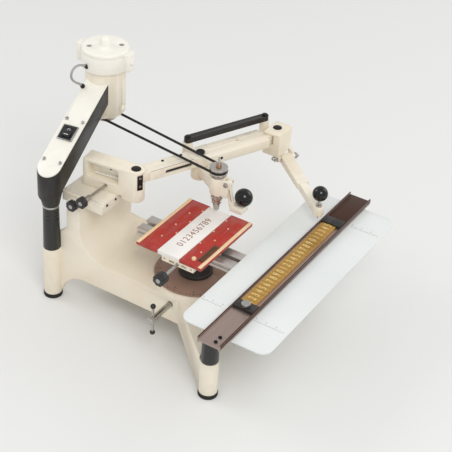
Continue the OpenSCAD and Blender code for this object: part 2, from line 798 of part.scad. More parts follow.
// Fork over the outer arm's end, lugs for the hinge pin below and a boss for the link rod
module tracer_block() color(cream) {
  fork_x0 = outer_at[0] - 27;
  fork_y0 = outer_at[1] - 21;
  difference() {
    union() {
      translate([fork_x0, fork_y0, hinge_z + 10]) cube([50, 36, bracket_top - hinge_z - 10]);
      at(outer_at + rod_off, holder_low) cylinder(d = rod_boss_d, h = rod_low - gap - holder_low);
      at(outer_at + [rod_off[0], 0], holder_low) translate([0, rod_off[1] / 2, 0])
        block(rod_boss_d - 4, rod_off[1], bar_low - gap - 2 - holder_low);
      at(outer_at + hinge_off, hinge_z) rotate([0, 0, tracer_turn + 90]) for (s = [-1, 1])
        translate([s * (barrel_l / 2 + gap + lug_t / 2), 0, 0]) {
          rotate([0, 90, 0]) translate([0, 0, -lug_t / 2]) cylinder(d = 17, h = lug_t);
          translate([0, 8, -2]) block(lug_t, 17, 14);
        }
    }
    at(outer_at, bar_low - gap) rotate([0, 0, bar_turn + 180])
      swept(neck_w + 2, neck_w + 1, 60, -carrier_swing, carrier_swing, bar_h + 2 * gap);
    at(outer_at, hinge_z + 16) cylinder(d = pivot_d, h = 80);
    at(outer_at, bracket_top - 2) cylinder(d = 17, h = 2 + eps);
    at(outer_at + rod_off, rod_z - 20) cylinder(d = rod_pin_d, h = 30);
    at(outer_at + hinge_off, hinge_z) rotate([0, 0, tracer_turn + 90]) rotate([0, 90, 0])
      translate([0, 0, -40]) cylinder(d = hinge_d + 2 * run, h = 80);
    // the tracer arm's barrel turns under the fork
    at(outer_at + hinge_off, hinge_z) rotate([0, 0, tracer_turn + 90]) rotate([0, 90, 0])
      translate([0, 0, -barrel_l / 2 - gap]) cylinder(d = barrel_d + 2, h = barrel_l + 2 * gap);
  }
}

module tracer_pin() color(black) {
  at(outer_at) capped_pin(pivot_d, hinge_z + 16, bracket_top - 2, 17, bracket_top - 2, 3);
  at(outer_at + rod_off) rod_pin();
}

// Cross pin of the tracer arm, with a nut and a pointed end at each side
module hinge_pin() color(steel) at(outer_at + hinge_off, hinge_z) rotate([0, 0, tracer_turn + 90]) {
  inner = barrel_l / 2 + gap + lug_t;
  for (s = [-1, 1]) rotate([0, s * 90, 0]) {
    cylinder(d = hinge_d, h = inner + 2);
    translate([0, 0, inner]) cylinder(d = 13, h = 6);
    translate([0, 0, inner + 6]) cylinder(d = 8, h = 2);
    translate([0, 0, inner + 8]) cylinder(d1 = 8, d2 = 5, h = 3);
  }
}

// Arm from the cross pin down to the stylus
module tracer_arm() color(cream) at(outer_at + hinge_off, hinge_z) rotate([0, 0, tracer_turn]) {
  drop = hinge_z - tracer_head_z;
  difference() {
    union() {
      rotate([90, 0, 0]) translate([0, 0, -barrel_l / 2]) cylinder(d = barrel_d, h = barrel_l);
      rotate([90, 0, 0]) translate([0, 0, -barrel_l / 2]) linear_extrude(barrel_l)
        polygon([[2, 8], [0.55 * tracer_run, 5 - drop / 2], [0.55 * tracer_run, -8 - drop / 2], [2, -8]]);
      rotate([90, 0, 0]) translate([0, 0, -8]) linear_extrude(16)
        polygon([[0.5 * tracer_run, 5 - drop / 2], [tracer_run, 4 - drop], [tracer_run, -11 - drop],
          [0.86 * tracer_run, -11 - drop], [0.5 * tracer_run, -7 - drop / 2]]);
      translate([tracer_run, 0, -drop - 11]) cylinder(d = 20, h = 19);
    }
    rotate([90, 0, 0]) translate([0, 0, -barrel_l]) cylinder(d = hinge_d + 2 * run, h = 2 * barrel_l);
    translate([tracer_run, 0, -drop - 12]) cylinder(d = stylus_d + 2 * run, h = 30);
  }
}

// The stylus with its point, its flange and the stem of the ball
module stylus() color(steel) at(tracer_at) {
  translate([0, 0, stylus_tip]) cylinder(d1 = 1.2, d2 = stylus_d - 1, h = 7);
  translate([0, 0, stylus_tip + 7]) cylinder(d = stylus_d, h = tracer_head_z + 8 - stylus_tip - 7);
  translate([0, 0, tracer_head_z + 8]) cylinder(d = 12, h = 4);
  translate([0, 0, tracer_head_z + 12]) cylinder(d = stylus_d, h = 18);
}

module tracer_ball() color(black) at(tracer_at, tracer_head_z + 23 + tracer_ball_d / 2 - 2) difference() {
  sphere(d = tracer_ball_d);
  translate([0, 0, -tracer_ball_d]) cylinder(d = stylus_d + 2 * run, h = tracer_ball_d - 6 + run);
}

// ---- Spindle

module quill() color(steel) at(spindle_at) difference() {
  union() {
    translate([0, 0, quill_low]) cylinder(d = quill_d, h = quill_top - quill_low);
    translate([0, 0, nose_low + 14]) cylinder(d = quill_d - 10, h = quill_low - nose_low - 14 + eps);
    translate([0, 0, nose_low]) cylinder(d1 = 10, d2 = quill_d - 8, h = 14);
    translate([0, 0, nose_low + 14]) cylinder(d = quill_d - 8, h = collar_low - gap - nose_low - 14);
  }
  translate([0, 0, nose_low - eps]) cylinder(d = shaft_d + 2 * run, h = quill_top - nose_low + 2 * eps);
}

module depth_collar() color(copper) at(spindle_at, collar_low) difference() {
  cylinder(d = collar_d, h = quill_low - gap - collar_low);
  translate([0, 0, -eps]) cylinder(d = quill_d - 10 + 2 * run, h = 30);
  // the step between grip and scale
  translate([0, 0, 8]) tube(collar_d + 4, collar_d - 1.6, 1.6);
}

module spindle_pulley() color(steel) at(spindle_at, pulley_low)
  pulley(pulley_d, pulley_h, belt_z - pulley_low, shaft_d + 2 * run);

module collet_nut() color(copper) at(spindle_at, pulley_low + pulley_h)
  tube(11, shaft_d + 2 * run, 6);

module spindle_shaft() color(steel) at(spindle_at) {
  translate([0, 0, tip_z]) cylinder(d1 = 0.8, d2 = 3, h = 4);
  translate([0, 0, tip_z + 4]) cylinder(d = shaft_d, h = pulley_low + pulley_h + 7 - tip_z - 4);
  translate([0, 0, pulley_low + pulley_h + 7 - eps]) cylinder(d = 3.5, h = 14);
}

// The slotted lever that lowers the quill, its pin in the holder's lug and its foot under the ball
module lift_lever() color(cream) at(spindle_at + lever_at, lever_z) {
  difference() {
    rotate([90, 0, 90]) translate([0, 0, -lever_t / 2]) linear_extrude(lever_t) union() {
      circle(d = 13);
      polygon([[-5, -4], [4, 4], [6 - lever_run, -lever_fall], [-lever_run - 4, -lever_fall]]);
    }
    // slot down the lever
    translate([-10, -lever_run / 2, -lever_fall / 2 + 1]) rotate([atan2(lever_fall, lever_run), 0, 0])
      rotate([90, 0, 90]) linear_extrude(20) slot(26, 4);
  }
  rotate([0, 90, 0]) translate([0, 0, -10.5]) cylinder(d = lever_pin_d, h = 21);
  translate([lever_ball_at[0] / 2 + 1, lever_ball_at[1] + 5, -lever_fall - 6])
    block(lever_t + 18, 26, lever_foot_h);
}

// The ball, cut flat where it sits on the lever's foot
module lever_ball() color(black) at(spindle_at + lever_at, lever_z - lever_fall - 6 + lever_foot_h)
  at(lever_ball_at) intersection() {
    translate([0, 0, lever_ball_d / 2 - 1.5]) sphere(d = lever_ball_d);
    cylinder(d = lever_ball_d + 2, h = lever_ball_d);
  }

// ---- Motor arm

module arm_side(low) {
  reach = arm_reach + 5;
  back = -arm_w / 2 - 2;
  rotate([90, 0, 0]) translate([0, 0, -arm_w]) linear_extrude(2 * arm_w)
    polygon([[back, arm_top - cover_dz + back * arm_slope],
      [reach, arm_top - cover_dz + reach * arm_slope],
      [reach, arm_top + reach * arm_slope - arm_end_depth],
      [back, arm_top - arm_depth + low]]);
}

module arm_plan(inset) {
  union() {
    circle(d = arm_w - 2 * inset);
    translate([0, -arm_w / 2 + inset]) square([arm_reach, arm_w - 2 * inset]);
  }
}

module arm_casting() color(black) difference() {
  rotate([0, 0, arm_turn]) difference() {
    union() {
      intersection() {
        translate([0, 0, socket_low]) linear_extrude(arm_reach) arm_plan(0);
        arm_side(-13);
      }
      translate([0, 0, socket_low]) cylinder(d1 = sleeve_top_d + 2, d2 = arm_w, h = 36);
    }
    translate([0, 0, socket_low - eps]) cylinder(d = spigot_d + 2 * run, h = spigot_l + eps + gap);
    // round seat of the motor
    translate([arm_reach, 0, socket_low]) cylinder(d = motor_d, h = arm_reach);
  }
  // pocket of the switch
  on_arm(switch_at, 0, -30) block(switch_l - 4, switch_w - 4, 40);
  // tapped holes of the cover's screws
  for (u = [9, 105], v = [-17, 17]) on_arm(u, v, -cover_t - 10) cylinder(d = 4 + 2 * run, h = 12);
}

module arm_cover() color(white) difference() {
  rotate([0, 0, arm_turn]) difference() {
    translate([0, 0, socket_low]) linear_extrude(arm_reach) arm_plan(0.8);
    translate([arm_reach, 0, socket_low]) cylinder(d = motor_d + 2 * run, h = arm_reach);
  }
  on_arm(0, 0, 0) translate([-50, -40, 0]) cube([330, 80, 200]);
  on_arm(0, 0, -cover_t) translate([-90, -40, -260]) cube([400, 80, 260]);
  on_arm(switch_at, 0, -10) block(switch_l, switch_w, 20);
  for (u = [9, 105], v = [-17, 17]) on_arm(u, v, -10) cylinder(d = 4 + 2 * run, h = 20);
}

module arm_screws() color(steel) for (u = [9, 105], v = [-17, 17]) {
  on_arm(u, v, 0) cylinder(d = 7.5, h = 2);
  on_arm(u, v, -10) cylinder(d = 4, h = 11);
}

module switch_frame() color(black) on_arm(switch_at, 0, -cover_t) difference() {
  union() {
    block(switch_l, switch_w, cover_t);
    translate([0, 0, cover_t]) block(switch_l + 3, switch_w + 3, 1.6);
    translate([0, 0, -12]) block(switch_l - 4, switch_w - 4, 12 + eps);
  }
  translate([0, 0, 0]) rotate([90, 0, 0]) translate([0, 0, -switch_w / 2 + 5]) cylinder(r = rocker_r + gap, h = switch_w - 10);
  translate([0, 0, 1]) block(2 * (rocker_r + gap), switch_w - 10, 10);
}

module switch_rocker() color(black) on_arm(switch_at, 0, -cover_t) intersection() {
  rotate([90, 0, 0]) translate([0, 0, -switch_w / 2 + 5 + gap]) cylinder(r = rocker_r, h = switch_w - 10 - 2 * gap);
  // two faces that meet in a shallow valley
  rotate([90, 0, 0]) translate([0, 0, -switch_w]) linear_extrude(2 * switch_w)
    polygon([[-rocker_r, -6], [rocker_r, -6], [rocker_r, 5], [0, 6], [-rocker_r, 9]]);
}

module motor_housing() color(cream) at(motor_at) difference() {
  union() {
    translate([0, 0, motor_low + 8]) cylinder(d = motor_d, h = cap_low - motor_low - 8);
    translate([0, 0, motor_low]) cylinder(d1 = motor_d - 12, d2 = motor_d, h = 8);
  }
  // vent slot
  rotate([0, 0, -80]) translate([motor_d / 2 - 3, -7, motor_low + 19]) cube([10, 14, 5]);
  translate([0, 0, motor_low - eps]) cylinder(d = motor_shaft_d + 2 * run, h = 30);
}

module motor_cap() color(cream) at(motor_at) {
  rim = 4;
  difference() {
    union() {
      rotate_extrude() union() {
        translate([0, cap_low]) square([cap_d / 2, cap_h - rim]);
        translate([0, cap_low]) square([cap_d / 2 - rim, cap_h]);
        translate([cap_d / 2 - rim, cap_top - rim]) circle(r = rim);
      }
      rotate([0, 0, arm_turn + 90]) translate([0, 0, cap_low + 1]) linear_extrude(cap_h - 5)
        round_rect(cap_d + 2 * lug_out, lug_w, 8);
      translate([0, 0, cap_top - eps]) cylinder(d = boss_d, h = 10 + eps);
      translate([0, 0, cap_top + 10]) intersection() {
        sphere(d = boss_d);
        cylinder(d = boss_d, h = boss_d);
      }
    }
    // line under the lid
    translate([0, 0, cap_top - 9]) tube(cap_d + 4, cap_d - 1.6, 1.2);
    // recesses of the lid's screws
    for (a = [132, -48]) rotate([0, 0, a]) translate([31, 0, cap_top - 3]) cylinder(d = 11, h = 3 + eps);
    for (s = [-1, 1]) rotate([0, 0, arm_turn + s * 90]) translate([cap_d / 2 + lug_out - 4, 0, brush_z])
      rotate([0, 90, 0]) cylinder(d = brush_d + 2 * run, h = 10);
  }
}

// Slotted caps over the brushes
module brush_caps() color(black) at(motor_at) for (s = [-1, 1])
  rotate([0, 0, arm_turn + s * 90]) translate([cap_d / 2 + lug_out - 4 + run, 0, brush_z])
    rotate([0, 90, 0]) difference() {
      cylinder(d = brush_d, h = 6);
      translate([0, 0, 5]) block(2.5, lug_w, 4);
    }

module motor_lead() color(black) sweep(smooth(lead_pts, 4), lead_r, 8);

module motor_pulley() color(steel) at(motor_at) {
  translate([0, 0, pulley_low]) pulley(motor_pulley_d, motor_low - gap - pulley_low, belt_z - pulley_low, motor_shaft_d - 2);
  translate([0, 0, pulley_low]) cylinder(d = motor_shaft_d, h = motor_low - pulley_low + 20);
}

// The round belt, one closed tube: an arc round each pulley and a straight strand on each side
module drive_belt() color(black) {
  r1 = motor_pulley_d / 2 - 2;
  r2 = pulley_d / 2 - 2;
  v = spindle_at - motor_at;
  reach = norm(v);
  open = acos((r1 - r2) / reach);
  steps = 14;
  sides = 10;
  arcs = concat([for (k = [0 : steps]) [0, r1, open + (360 - 2 * open) * k / steps]],
    [for (k = [0 : steps]) [reach, r2, -open + 2 * open * k / steps]]);
  n = len(arcs);
  rings = [for (c = arcs, k = [0 : sides - 1]) let (a = 360 * k / sides,
    r = c[1] + belt_t / 2 * cos(a)) [c[0] + r * cos(c[2]), r * sin(c[2]), belt_t / 2 * sin(a)]];
  faces = [for (i = [0 : n - 1], k = [0 : sides - 1]) let (a = i * sides + k,
    b = i * sides + (k + 1) % sides, c = (i + 1) % n * sides + k,
    d = (i + 1) % n * sides + (k + 1) % sides) each [[a, b, c], [b, d, c]]];
  at(motor_at, belt_z) rotate([0, 0, atan2(v[1], v[0])]) polyhedron(rings, faces);
}

// ---- Turntable and vice

module graduated_disc() color("#8d7568") at(turn_at, deck_top) difference() {
  cylinder(d = disc_d, h = disc_t, $fn = 96);
  translate([0, 0, -eps]) cylinder(d = hub_pivot_d, h = disc_t + 2 * eps);
  // ring groove inside the scale
  translate([0, 0, disc_t - 0.8]) tube(disc_d - 14, disc_d - 16, 1);
}

module turntable_hub() color(cream) at(turn_at) {
  translate([0, 0, disc_top + gap]) cylinder(d = hub_d, h = 6);
  translate([0, 0, disc_top + gap + 6 - eps]) cylinder(d1 = hub_d - 5, d2 = hub_d - 9, h = hub_h - 6 + eps);
  translate([0, 0, deck_top - wall - 4])
    cylinder(d = hub_pivot_d - 2 * run, h = disc_top + gap - deck_top + wall + 4 + eps);
}

// Rail with a T-slot along its top
module slot_rail() color(alu) at(turn_at, hub_top) difference() {
  block(rail_w, rail_l, rail_h);
  translate([0, 0, rail_h - 4]) block(10, rail_l + 2 * eps, 4 + eps);
  translate([0, 0, rail_h - 10]) block(18, rail_l + 2 * eps, 6);
  // side grooves
  for (s = [-1, 1]) translate([s * rail_w / 2, 0, rail_h / 2 - 2]) block(5, rail_l + 2 * eps, 4);
}

// The carriage: an extruded body with four channels, a foot that runs on the rail, and two ears
module vice_body() color(cream) {
  mid_y = (body_y0 + body_y1) / 2;
  depth = body_y1 - body_y0;
  ear_t = 4;
  difference() {
    union() {
      translate([vice_x0, body_y0, body_low]) cube([vice_l, depth, body_h]);
      translate([turn_at[0], mid_y, rail_top + gap])
        block(rail_w + 2 * (gap + foot_lip), depth - 6, body_low - rail_top - gap + eps);
      for (s = [-1, 1]) translate([turn_at[0] + s * (rail_w / 2 + gap + foot_lip / 2), mid_y, rail_top - 7])
        block(foot_lip, depth - 6, 7 + gap + eps);
      for (x = [lock_x0 - gap - ear_t, lock_x0 + lock_l + gap])
        translate([x, lock_y - 4, body_low]) cube([ear_t, body_y0 - lock_y + 4 + eps, body_h]);
    }
    for (y = [body_y0 + 5.5, body_y1 - 5.5]) translate([vice_x0 - eps, y, body_low + body_h / 2])
      rotate([0, 90, 0]) cylinder(d = 5.5, h = vice_l + 2 * eps);
    for (s = [-1, 1]) translate([turn_at[0], mid_y + s * (channel_w / 2 + 7), body_low + 2])
      block(vice_l + 2 * eps, channel_w, body_h - bar_t - 3);
    for (x = bar_xs) translate([turn_at[0] + x, mid_y, body_top - bar_t]) block(bar_w, 200, bar_t + eps);
    translate([vice_x0 - eps, screw_y, screw_z]) rotate([0, 90, 0])
      cylinder(d = screw_d + 2 * run, h = vice_l / 2 + 2 * eps);
    translate([lock_x0 - gap - ear_t - eps, lock_y, lock_z]) rotate([0, 90, 0])
      cylinder(d = lock_pin_d + 2 * run, h = lock_l + 2 * (gap + ear_t + eps));
  }
}

// Two cross bars that carry the jaws out over the body
module cross_bars() color(steel) for (x = bar_xs)
  translate([turn_at[0] + x, work_y, body_top - bar_t]) block(bar_w, work_w + 2 * jaw_w - 6, bar_t);

module work_plate() color(white) translate([turn_at[0] - 1, work_y, body_top])
  block(vice_l - 3, work_w - 2 * gap, jaw_top + 1.2 - body_top);

// One jaw: a red top between the work and a pale outer strip, with rows of peg holes
module jaw(side) {
  y = work_y + side * (work_w + jaw_w) / 2;
  translate([turn_at[0] + 1, y, jaw_low]) difference() {
    block(vice_l + 2, jaw_w, jaw_t);
    translate([0, side * (jaw_w / 2 - 7.5), jaw_t - 0.6]) block(vice_l + 3, 0.8, 1);
    for (x = [-46, 0, 46]) translate([x, -side * 4, jaw_t - 4]) cylinder(d = 4, h = 4 + eps);
  }
}

module jaw_back() color(red) jaw(1);
module jaw_front() color(red) jaw(-1);

// A ribbed stop screwed on the front jaw
module edge_profile() color(alu)
  translate([turn_at[0] - 42, work_y - work_w / 2 - jaw_w + 13, jaw_top]) difference() {
    block(56, 10, 2.6);
    for (y = [-2.5, 0, 2.5]) translate([0, y, 1.4]) block(60, 1.2, 2);
  }

// Eccentric roller that locks the carriage, between the two ears
module carriage_lock() color(black) translate([lock_x0, lock_y, lock_z]) rotate([0, 90, 0]) {
  cylinder(d = lock_d, h = lock_l);
  translate([0, 0, -gap - 3]) cylinder(d = lock_pin_d, h = lock_l + 2 * (gap + 3));
}

module vice_screw() color(steel)
  translate([vice_x0 - 46, screw_y, screw_z]) rotate([0, 90, 0]) cylinder(d = screw_d, h = vice_l / 2 + 46);

module vice_knob() color(black) translate([vice_x0 - 61, screw_y, screw_z]) difference() {
  grip_knob(vice_knob_d, 18);
  translate([14, 0, 0]) rotate([0, 90, 0]) cylinder(d = screw_d + 2 * run, h = 20);
}

// ---- Side clamp

module side_screw() color(steel) translate([deck_left, side_y, side_z]) {
  rotate([0, -90, 0]) translate([0, 0, -wall - 6]) cylinder(d = side_d, h = side_l + wall + 6);
  translate([-side_l - 3, 0, 0]) rotate([0, 90, 0]) cylinder(d = side_d + 5, h = 3 + eps);
  translate([-side_l + 7, 0, -tommy_l / 2]) cylinder(d = 5, h = tommy_l);
  for (s = [-1, 1]) translate([-side_l + 7, 0, s * tommy_l / 2]) sphere(d = 10);
}

base_casting();
foot_pads();
column_sleeve();
column_spigot();
front_sleeves();
copy_plate();
copy_guide();
saddle();
graduated_disc();
arm_casting();
arm_cover();
arm_screws();
motor_housing();
motor_cap();
brush_caps();
motor_lead();
switch_frame();
switch_rocker();
motor_pulley();
drive_belt();
saddle_knob();
head_knob();
bracket();
slot_plate();
main_pin();
inner_arm();
outer_arm();
spindle_bracket();
spindle_pin();
link_rod();
quill();
depth_collar();
spindle_pulley();
collet_nut();
spindle_shaft();
lift_lever();
lever_ball();
tracer_block();
tracer_pin();
hinge_pin();
tracer_arm();
tracer_ball();
stylus();
turntable_hub();
slot_rail();
vice_body();
cross_bars();
work_plate();
jaw_back();
jaw_front();
edge_profile();
carriage_lock();
vice_screw();
vice_knob();
copy_rail();
type_strip();
clamp_left();
clamp_thumb();
clamp_right();
side_screw();
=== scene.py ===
# Looks of the pantograph engraving machine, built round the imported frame. Metres, Z up.
import json
import math

import bpy
from mathutils import Matrix, Vector


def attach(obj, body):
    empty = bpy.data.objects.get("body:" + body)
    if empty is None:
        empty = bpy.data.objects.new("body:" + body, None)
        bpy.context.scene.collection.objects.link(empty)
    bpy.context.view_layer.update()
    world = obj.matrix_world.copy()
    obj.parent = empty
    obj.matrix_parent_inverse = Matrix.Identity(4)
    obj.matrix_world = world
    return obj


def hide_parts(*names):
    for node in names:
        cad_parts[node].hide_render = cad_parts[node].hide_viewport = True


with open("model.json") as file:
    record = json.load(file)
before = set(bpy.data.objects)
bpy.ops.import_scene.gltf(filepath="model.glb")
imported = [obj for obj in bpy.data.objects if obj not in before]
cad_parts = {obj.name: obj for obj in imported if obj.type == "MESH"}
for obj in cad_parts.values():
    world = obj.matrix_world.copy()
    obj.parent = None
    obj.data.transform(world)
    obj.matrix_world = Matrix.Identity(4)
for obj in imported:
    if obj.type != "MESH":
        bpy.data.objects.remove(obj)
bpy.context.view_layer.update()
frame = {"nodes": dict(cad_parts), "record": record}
nodes = frame["nodes"]
bodyOf = {n: b for b, ns in frame["record"]["behaviour"]["bodies"].items() for n in ns}
print("frame loaded,", len(nodes), "nodes")

mmUnit = 0.001
weldGap = 1e-6  # points of one piece that lie closer than this, in metres, are one

# the same named places as in the part's source, in millimetres
layout = {
    "mainPivot": (88.0, -133.0), "barTurn": -24.5, "armLength": 320.9, "ratio": 0.44,
    "tracerOffset": (-98.8, -155.6), "barLow": 273.0, "barHeight": 19.0, "bracketLean": 7.0,
    "armTurn": 8.4, "armRise": 26.0, "armTop": 300.0, "armReach": 215.0,
    "turntable": (96.0, -269.0), "workY": -263.0, "jawTop": 203.8, "plateTop": 186.0,
    "capTop": 451.0, "beltLevel": 302.0,
}


def turnedPoint(radius, degrees):
    # a point on a circle
    return (radius * math.cos(math.radians(degrees)), radius * math.sin(math.radians(degrees)))


def added(a, b, k=1.0):
    # a point moved by k times a step
    return (a[0] + k * b[0], a[1] + k * b[1])


barStep = turnedPoint(layout["armLength"], layout["barTurn"])
innerPivot = added(layout["mainPivot"], barStep, layout["ratio"])
spindle = added(innerPivot, layout["tracerOffset"], layout["ratio"])
motor = turnedPoint(layout["armReach"], layout["armTurn"])


# ---- frames of the sub-assemblies: a point in millimetres goes in, a matrix in metres comes out

def frameAt(x, y, z, turn=0.0, rise=0.0):
    return (Matrix.Translation(Vector((x, y, z)) * mmUnit) @ Matrix.Rotation(math.radians(turn), 4, "Z")
            @ Matrix.Rotation(math.radians(-rise), 4, "Y"))


worldFrame = Matrix.Identity(4)
armFrame = (Matrix.Rotation(math.radians(layout["armTurn"]), 4, "Z")
            @ Matrix.Translation((0, 0, layout["armTop"] * mmUnit))
            @ Matrix.Rotation(math.radians(-layout["armRise"]), 4, "Y"))
bracketFrame = frameAt(*layout["mainPivot"], 0, 90 + layout["bracketLean"])
barFrame = frameAt(*layout["mainPivot"], layout["barLow"], layout["barTurn"])
outerFrame = frameAt(*innerPivot, layout["barLow"], layout["barTurn"])


def placed(base, x=0.0, y=0.0, z=0.0, rx=0.0, ry=0.0, rz=0.0):
    turn = (Matrix.Rotation(math.radians(rz), 4, "Z") @ Matrix.Rotation(math.radians(ry), 4, "Y")
            @ Matrix.Rotation(math.radians(rx), 4, "X"))
    return base @ Matrix.Translation(Vector((x, y, z)) * mmUnit) @ turn


# ---- camera, at the photograph's angle

view = {"target": (0.2647, -0.2309, 0.1103), "distance": 2.5432, "azimuth": -59.9,
        "elevation": 34.9, "roll": 3.9, "lens": 100.95, "sensor": 36.0, "clipEnd": 50}


def makeCamera():
    az, el, roll = (math.radians(view[k]) for k in ("azimuth", "elevation", "roll"))
    back = Vector((math.sin(az) * math.cos(el), -math.cos(az) * math.cos(el), math.sin(el)))
    right = (-back).cross(Vector((0, 0, 1))).normalized()
    up = right.cross(-back)
    side = right * math.cos(roll) + up * math.sin(roll)
    top = up * math.cos(roll) - right * math.sin(roll)
    place = Matrix((side, top, back)).transposed().to_4x4()
    place.translation = Vector(view["target"]) + back * view["distance"]
    data = bpy.data.cameras.new("camera")
    data.lens = view["lens"]
    data.sensor_width = view["sensor"]
    data.clip_end = view["clipEnd"]
    camera = bpy.data.objects.new("camera", data)
    camera.matrix_world = place
    bpy.context.scene.collection.objects.link(camera)
    bpy.context.scene.camera = camera


makeCamera()
print("camera set")


# ---- helpers for modelling by hand

def deselect():
    if bpy.context.mode != "OBJECT":
        bpy.ops.object.mode_set(mode="OBJECT")
    bpy.ops.object.select_all(action="DESELECT")


def only(piece):
    deselect()
    piece.select_set(True)
    bpy.context.view_layer.objects.active = piece


def applyAll(piece):
    only(piece)
    for modifier in list(piece.modifiers):
        bpy.ops.object.modifier_apply(modifier=modifier.name)


def settle(piece):
    # the place goes into the mesh, the object to the origin
    only(piece)
    bpy.ops.object.transform_apply(location=True, rotation=True, scale=True)
    return piece


def smooth(piece, degrees=32):
    only(piece)
    bpy.ops.object.shade_smooth_by_angle(angle=math.radians(degrees))
    return piece


def roundEdges(piece, width, segments=2, degrees=35):
    bevel = piece.modifiers.new("edges", "BEVEL")
    bevel.width = width * mmUnit
    bevel.segments = segments
    bevel.limit_method = "ANGLE"
    bevel.angle_limit = math.radians(degrees)
    bevel.use_clamp_overlap = True
    applyAll(piece)
    return smooth(piece)


def boxPiece(name, size, place, edge=0.3, segments=2):
    deselect()
    at, turn, _ = place.decompose()
    bpy.ops.mesh.primitive_cube_add(size=1, location=at, rotation=turn.to_euler(),
                                    scale=Vector(size) * mmUnit)
    piece = settle(bpy.context.object)
    piece.name = name
    return roundEdges(piece, edge, segments)


def discPiece(name, diameter, height, place, edge=0.3, sides=48, segments=2):
    # its foot stands at the place, its axis along the place's z
    deselect()
    at, turn, _ = (place @ Matrix.Translation((0, 0, height / 2 * mmUnit))).decompose()
    bpy.ops.mesh.primitive_cylinder_add(vertices=sides, radius=diameter / 2 * mmUnit,
                                        depth=height * mmUnit, location=at,
                                        rotation=turn.to_euler())
    piece = settle(bpy.context.object)
    piece.name = name
    return roundEdges(piece, edge, segments)


def turnedPiece(name, profile, place, steps=48, degrees=32):
    # a profile of (radius, height) points, spun round the place's z axis
    mesh = bpy.data.meshes.new(name)
    points = [(r * mmUnit, 0, h * mmUnit) for r, h in profile]
    mesh.from_pydata(points, [(i, i + 1) for i in range(len(points) - 1)], [])
    piece = bpy.data.objects.new(name, mesh)
    bpy.context.scene.collection.objects.link(piece)
    only(piece)
    bpy.ops.object.mode_set(mode="EDIT")
    bpy.ops.mesh.select_all(action="SELECT")
    bpy.ops.mesh.spin(steps=steps, angle=2 * math.pi, center=(0, 0, 0), axis=(0, 0, 1))
    bpy.ops.mesh.select_all(action="SELECT")
    bpy.ops.mesh.remove_doubles(threshold=weldGap)
    bpy.ops.mesh.normals_make_consistent(inside=False)
    bpy.ops.object.mode_set(mode="OBJECT")
    piece.matrix_world = place
    settle(piece)
    return smooth(piece, degrees)


def cut(piece, cutter):
    taken = piece.modifiers.new("cut", "BOOLEAN")
    taken.operation = "DIFFERENCE"
    taken.solver = "EXACT"
    taken.object = cutter
    applyAll(piece)
    bpy.data.objects.remove(cutter)
    return piece


def joined(name, pieces):
    deselect()
    for piece in pieces:
        piece.select_set(True)
    bpy.context.view_layer.objects.active = pieces[0]
    if len(pieces) > 1:
        bpy.ops.object.join()
    piece = bpy.context.view_layer.objects.active
    piece.name = name
    return piece


def copied(piece, place):
    # a copy with its own mesh, moved by a matrix
    twin = bpy.data.objects.new(piece.name, piece.data.copy())
    bpy.context.scene.collection.objects.link(twin)
    twin.matrix_world = place
    return settle(twin)


def lettering(name, words, size, place, raised=0.05, spacing=1.0):
    deselect()
    bpy.ops.object.text_add()
    piece = bpy.context.object
    piece.data.body = words
    piece.data.size = size * mmUnit
    piece.data.extrude = raised / 2 * mmUnit
    piece.data.space_character = spacing
    piece.data.align_x = "CENTER"
    piece.data.align_y = "CENTER"
    bpy.ops.object.convert(target="MESH")
    piece = bpy.context.object
    piece.name = name
    piece.matrix_world = place
    return settle(piece)


screwForm = {"edge": 0.6, "sides": 32, "keyRadius": 0.28, "slotLength": 1.2, "slotWidth": 0.17}


def screwHead(diameter, height, slotTurn=0.0, hexKey=False):
    # a round head at the origin, with a slot or a hexagonal key hole
    piece = discPiece("screw", diameter, height, worldFrame, min(screwForm["edge"], height / 3),
                      screwForm["sides"])
    top = (0, 0, height * mmUnit)
    deselect()
    if hexKey:
        bpy.ops.mesh.primitive_cylinder_add(vertices=6, radius=screwForm["keyRadius"] * diameter * mmUnit,
                                            depth=height * mmUnit, location=top)
    else:
        size = (diameter * screwForm["slotLength"], diameter * screwForm["slotWidth"], height)
        bpy.ops.mesh.primitive_cube_add(size=1, location=top, rotation=(0, 0, math.radians(slotTurn)),
                                        scale=Vector(size) * mmUnit)
    cut(piece, settle(bpy.context.object))
    return smooth(piece)


# ---- materials

def linear(red, green, blue):
    def channel(v):
        v /= 255
        return v / 12.92 if v <= 0.04045 else ((v + 0.055) / 1.055) ** 2.4
    return (channel(red), channel(green), channel(blue), 1.0)


def plug(tree, node, inputs):
    # each input takes a link from another node's socket, or a plain value
    for name, given in inputs.items():
        if isinstance(given, bpy.types.NodeSocket):
            tree.links.new(given, node.inputs[name])
        else:
            node.inputs[name].default_value = given


def addNode(tree, kind, inputs=(), **settings):
    node = tree.nodes.new(kind)
    for key, value in settings.items():
        setattr(node, key, value)
    plug(tree, node, dict(inputs))
    return node.outputs


def addNoise(tree, vector, scale, detail):
    return addNode(tree, "ShaderNodeTexNoise", {"Vector": vector, "Scale": scale, "Detail": detail})["Fac"]


def spread(tree, value, low, high):
    # 0 to 1 becomes low to high
    return addNode(tree, "ShaderNodeMapRange", {"Value": value, "To Min": low, "To Max": high})["Result"]


def narrowed(tree, value, low, high):
    # low to high becomes 0 to 1
    return addNode(tree, "ShaderNodeMapRange", {"Value": value, "From Min": low, "From Max": high})["Result"]


def mixed(tree, factor, first, second):
    return addNode(tree, "ShaderNodeMix", {"Factor": factor, "A": first, "B": second},
                   data_type="RGBA")["Result"]


def calculated(tree, kind, operation, first, second):
    return addNode(tree, kind, {0: first, 1: second}, operation=operation)


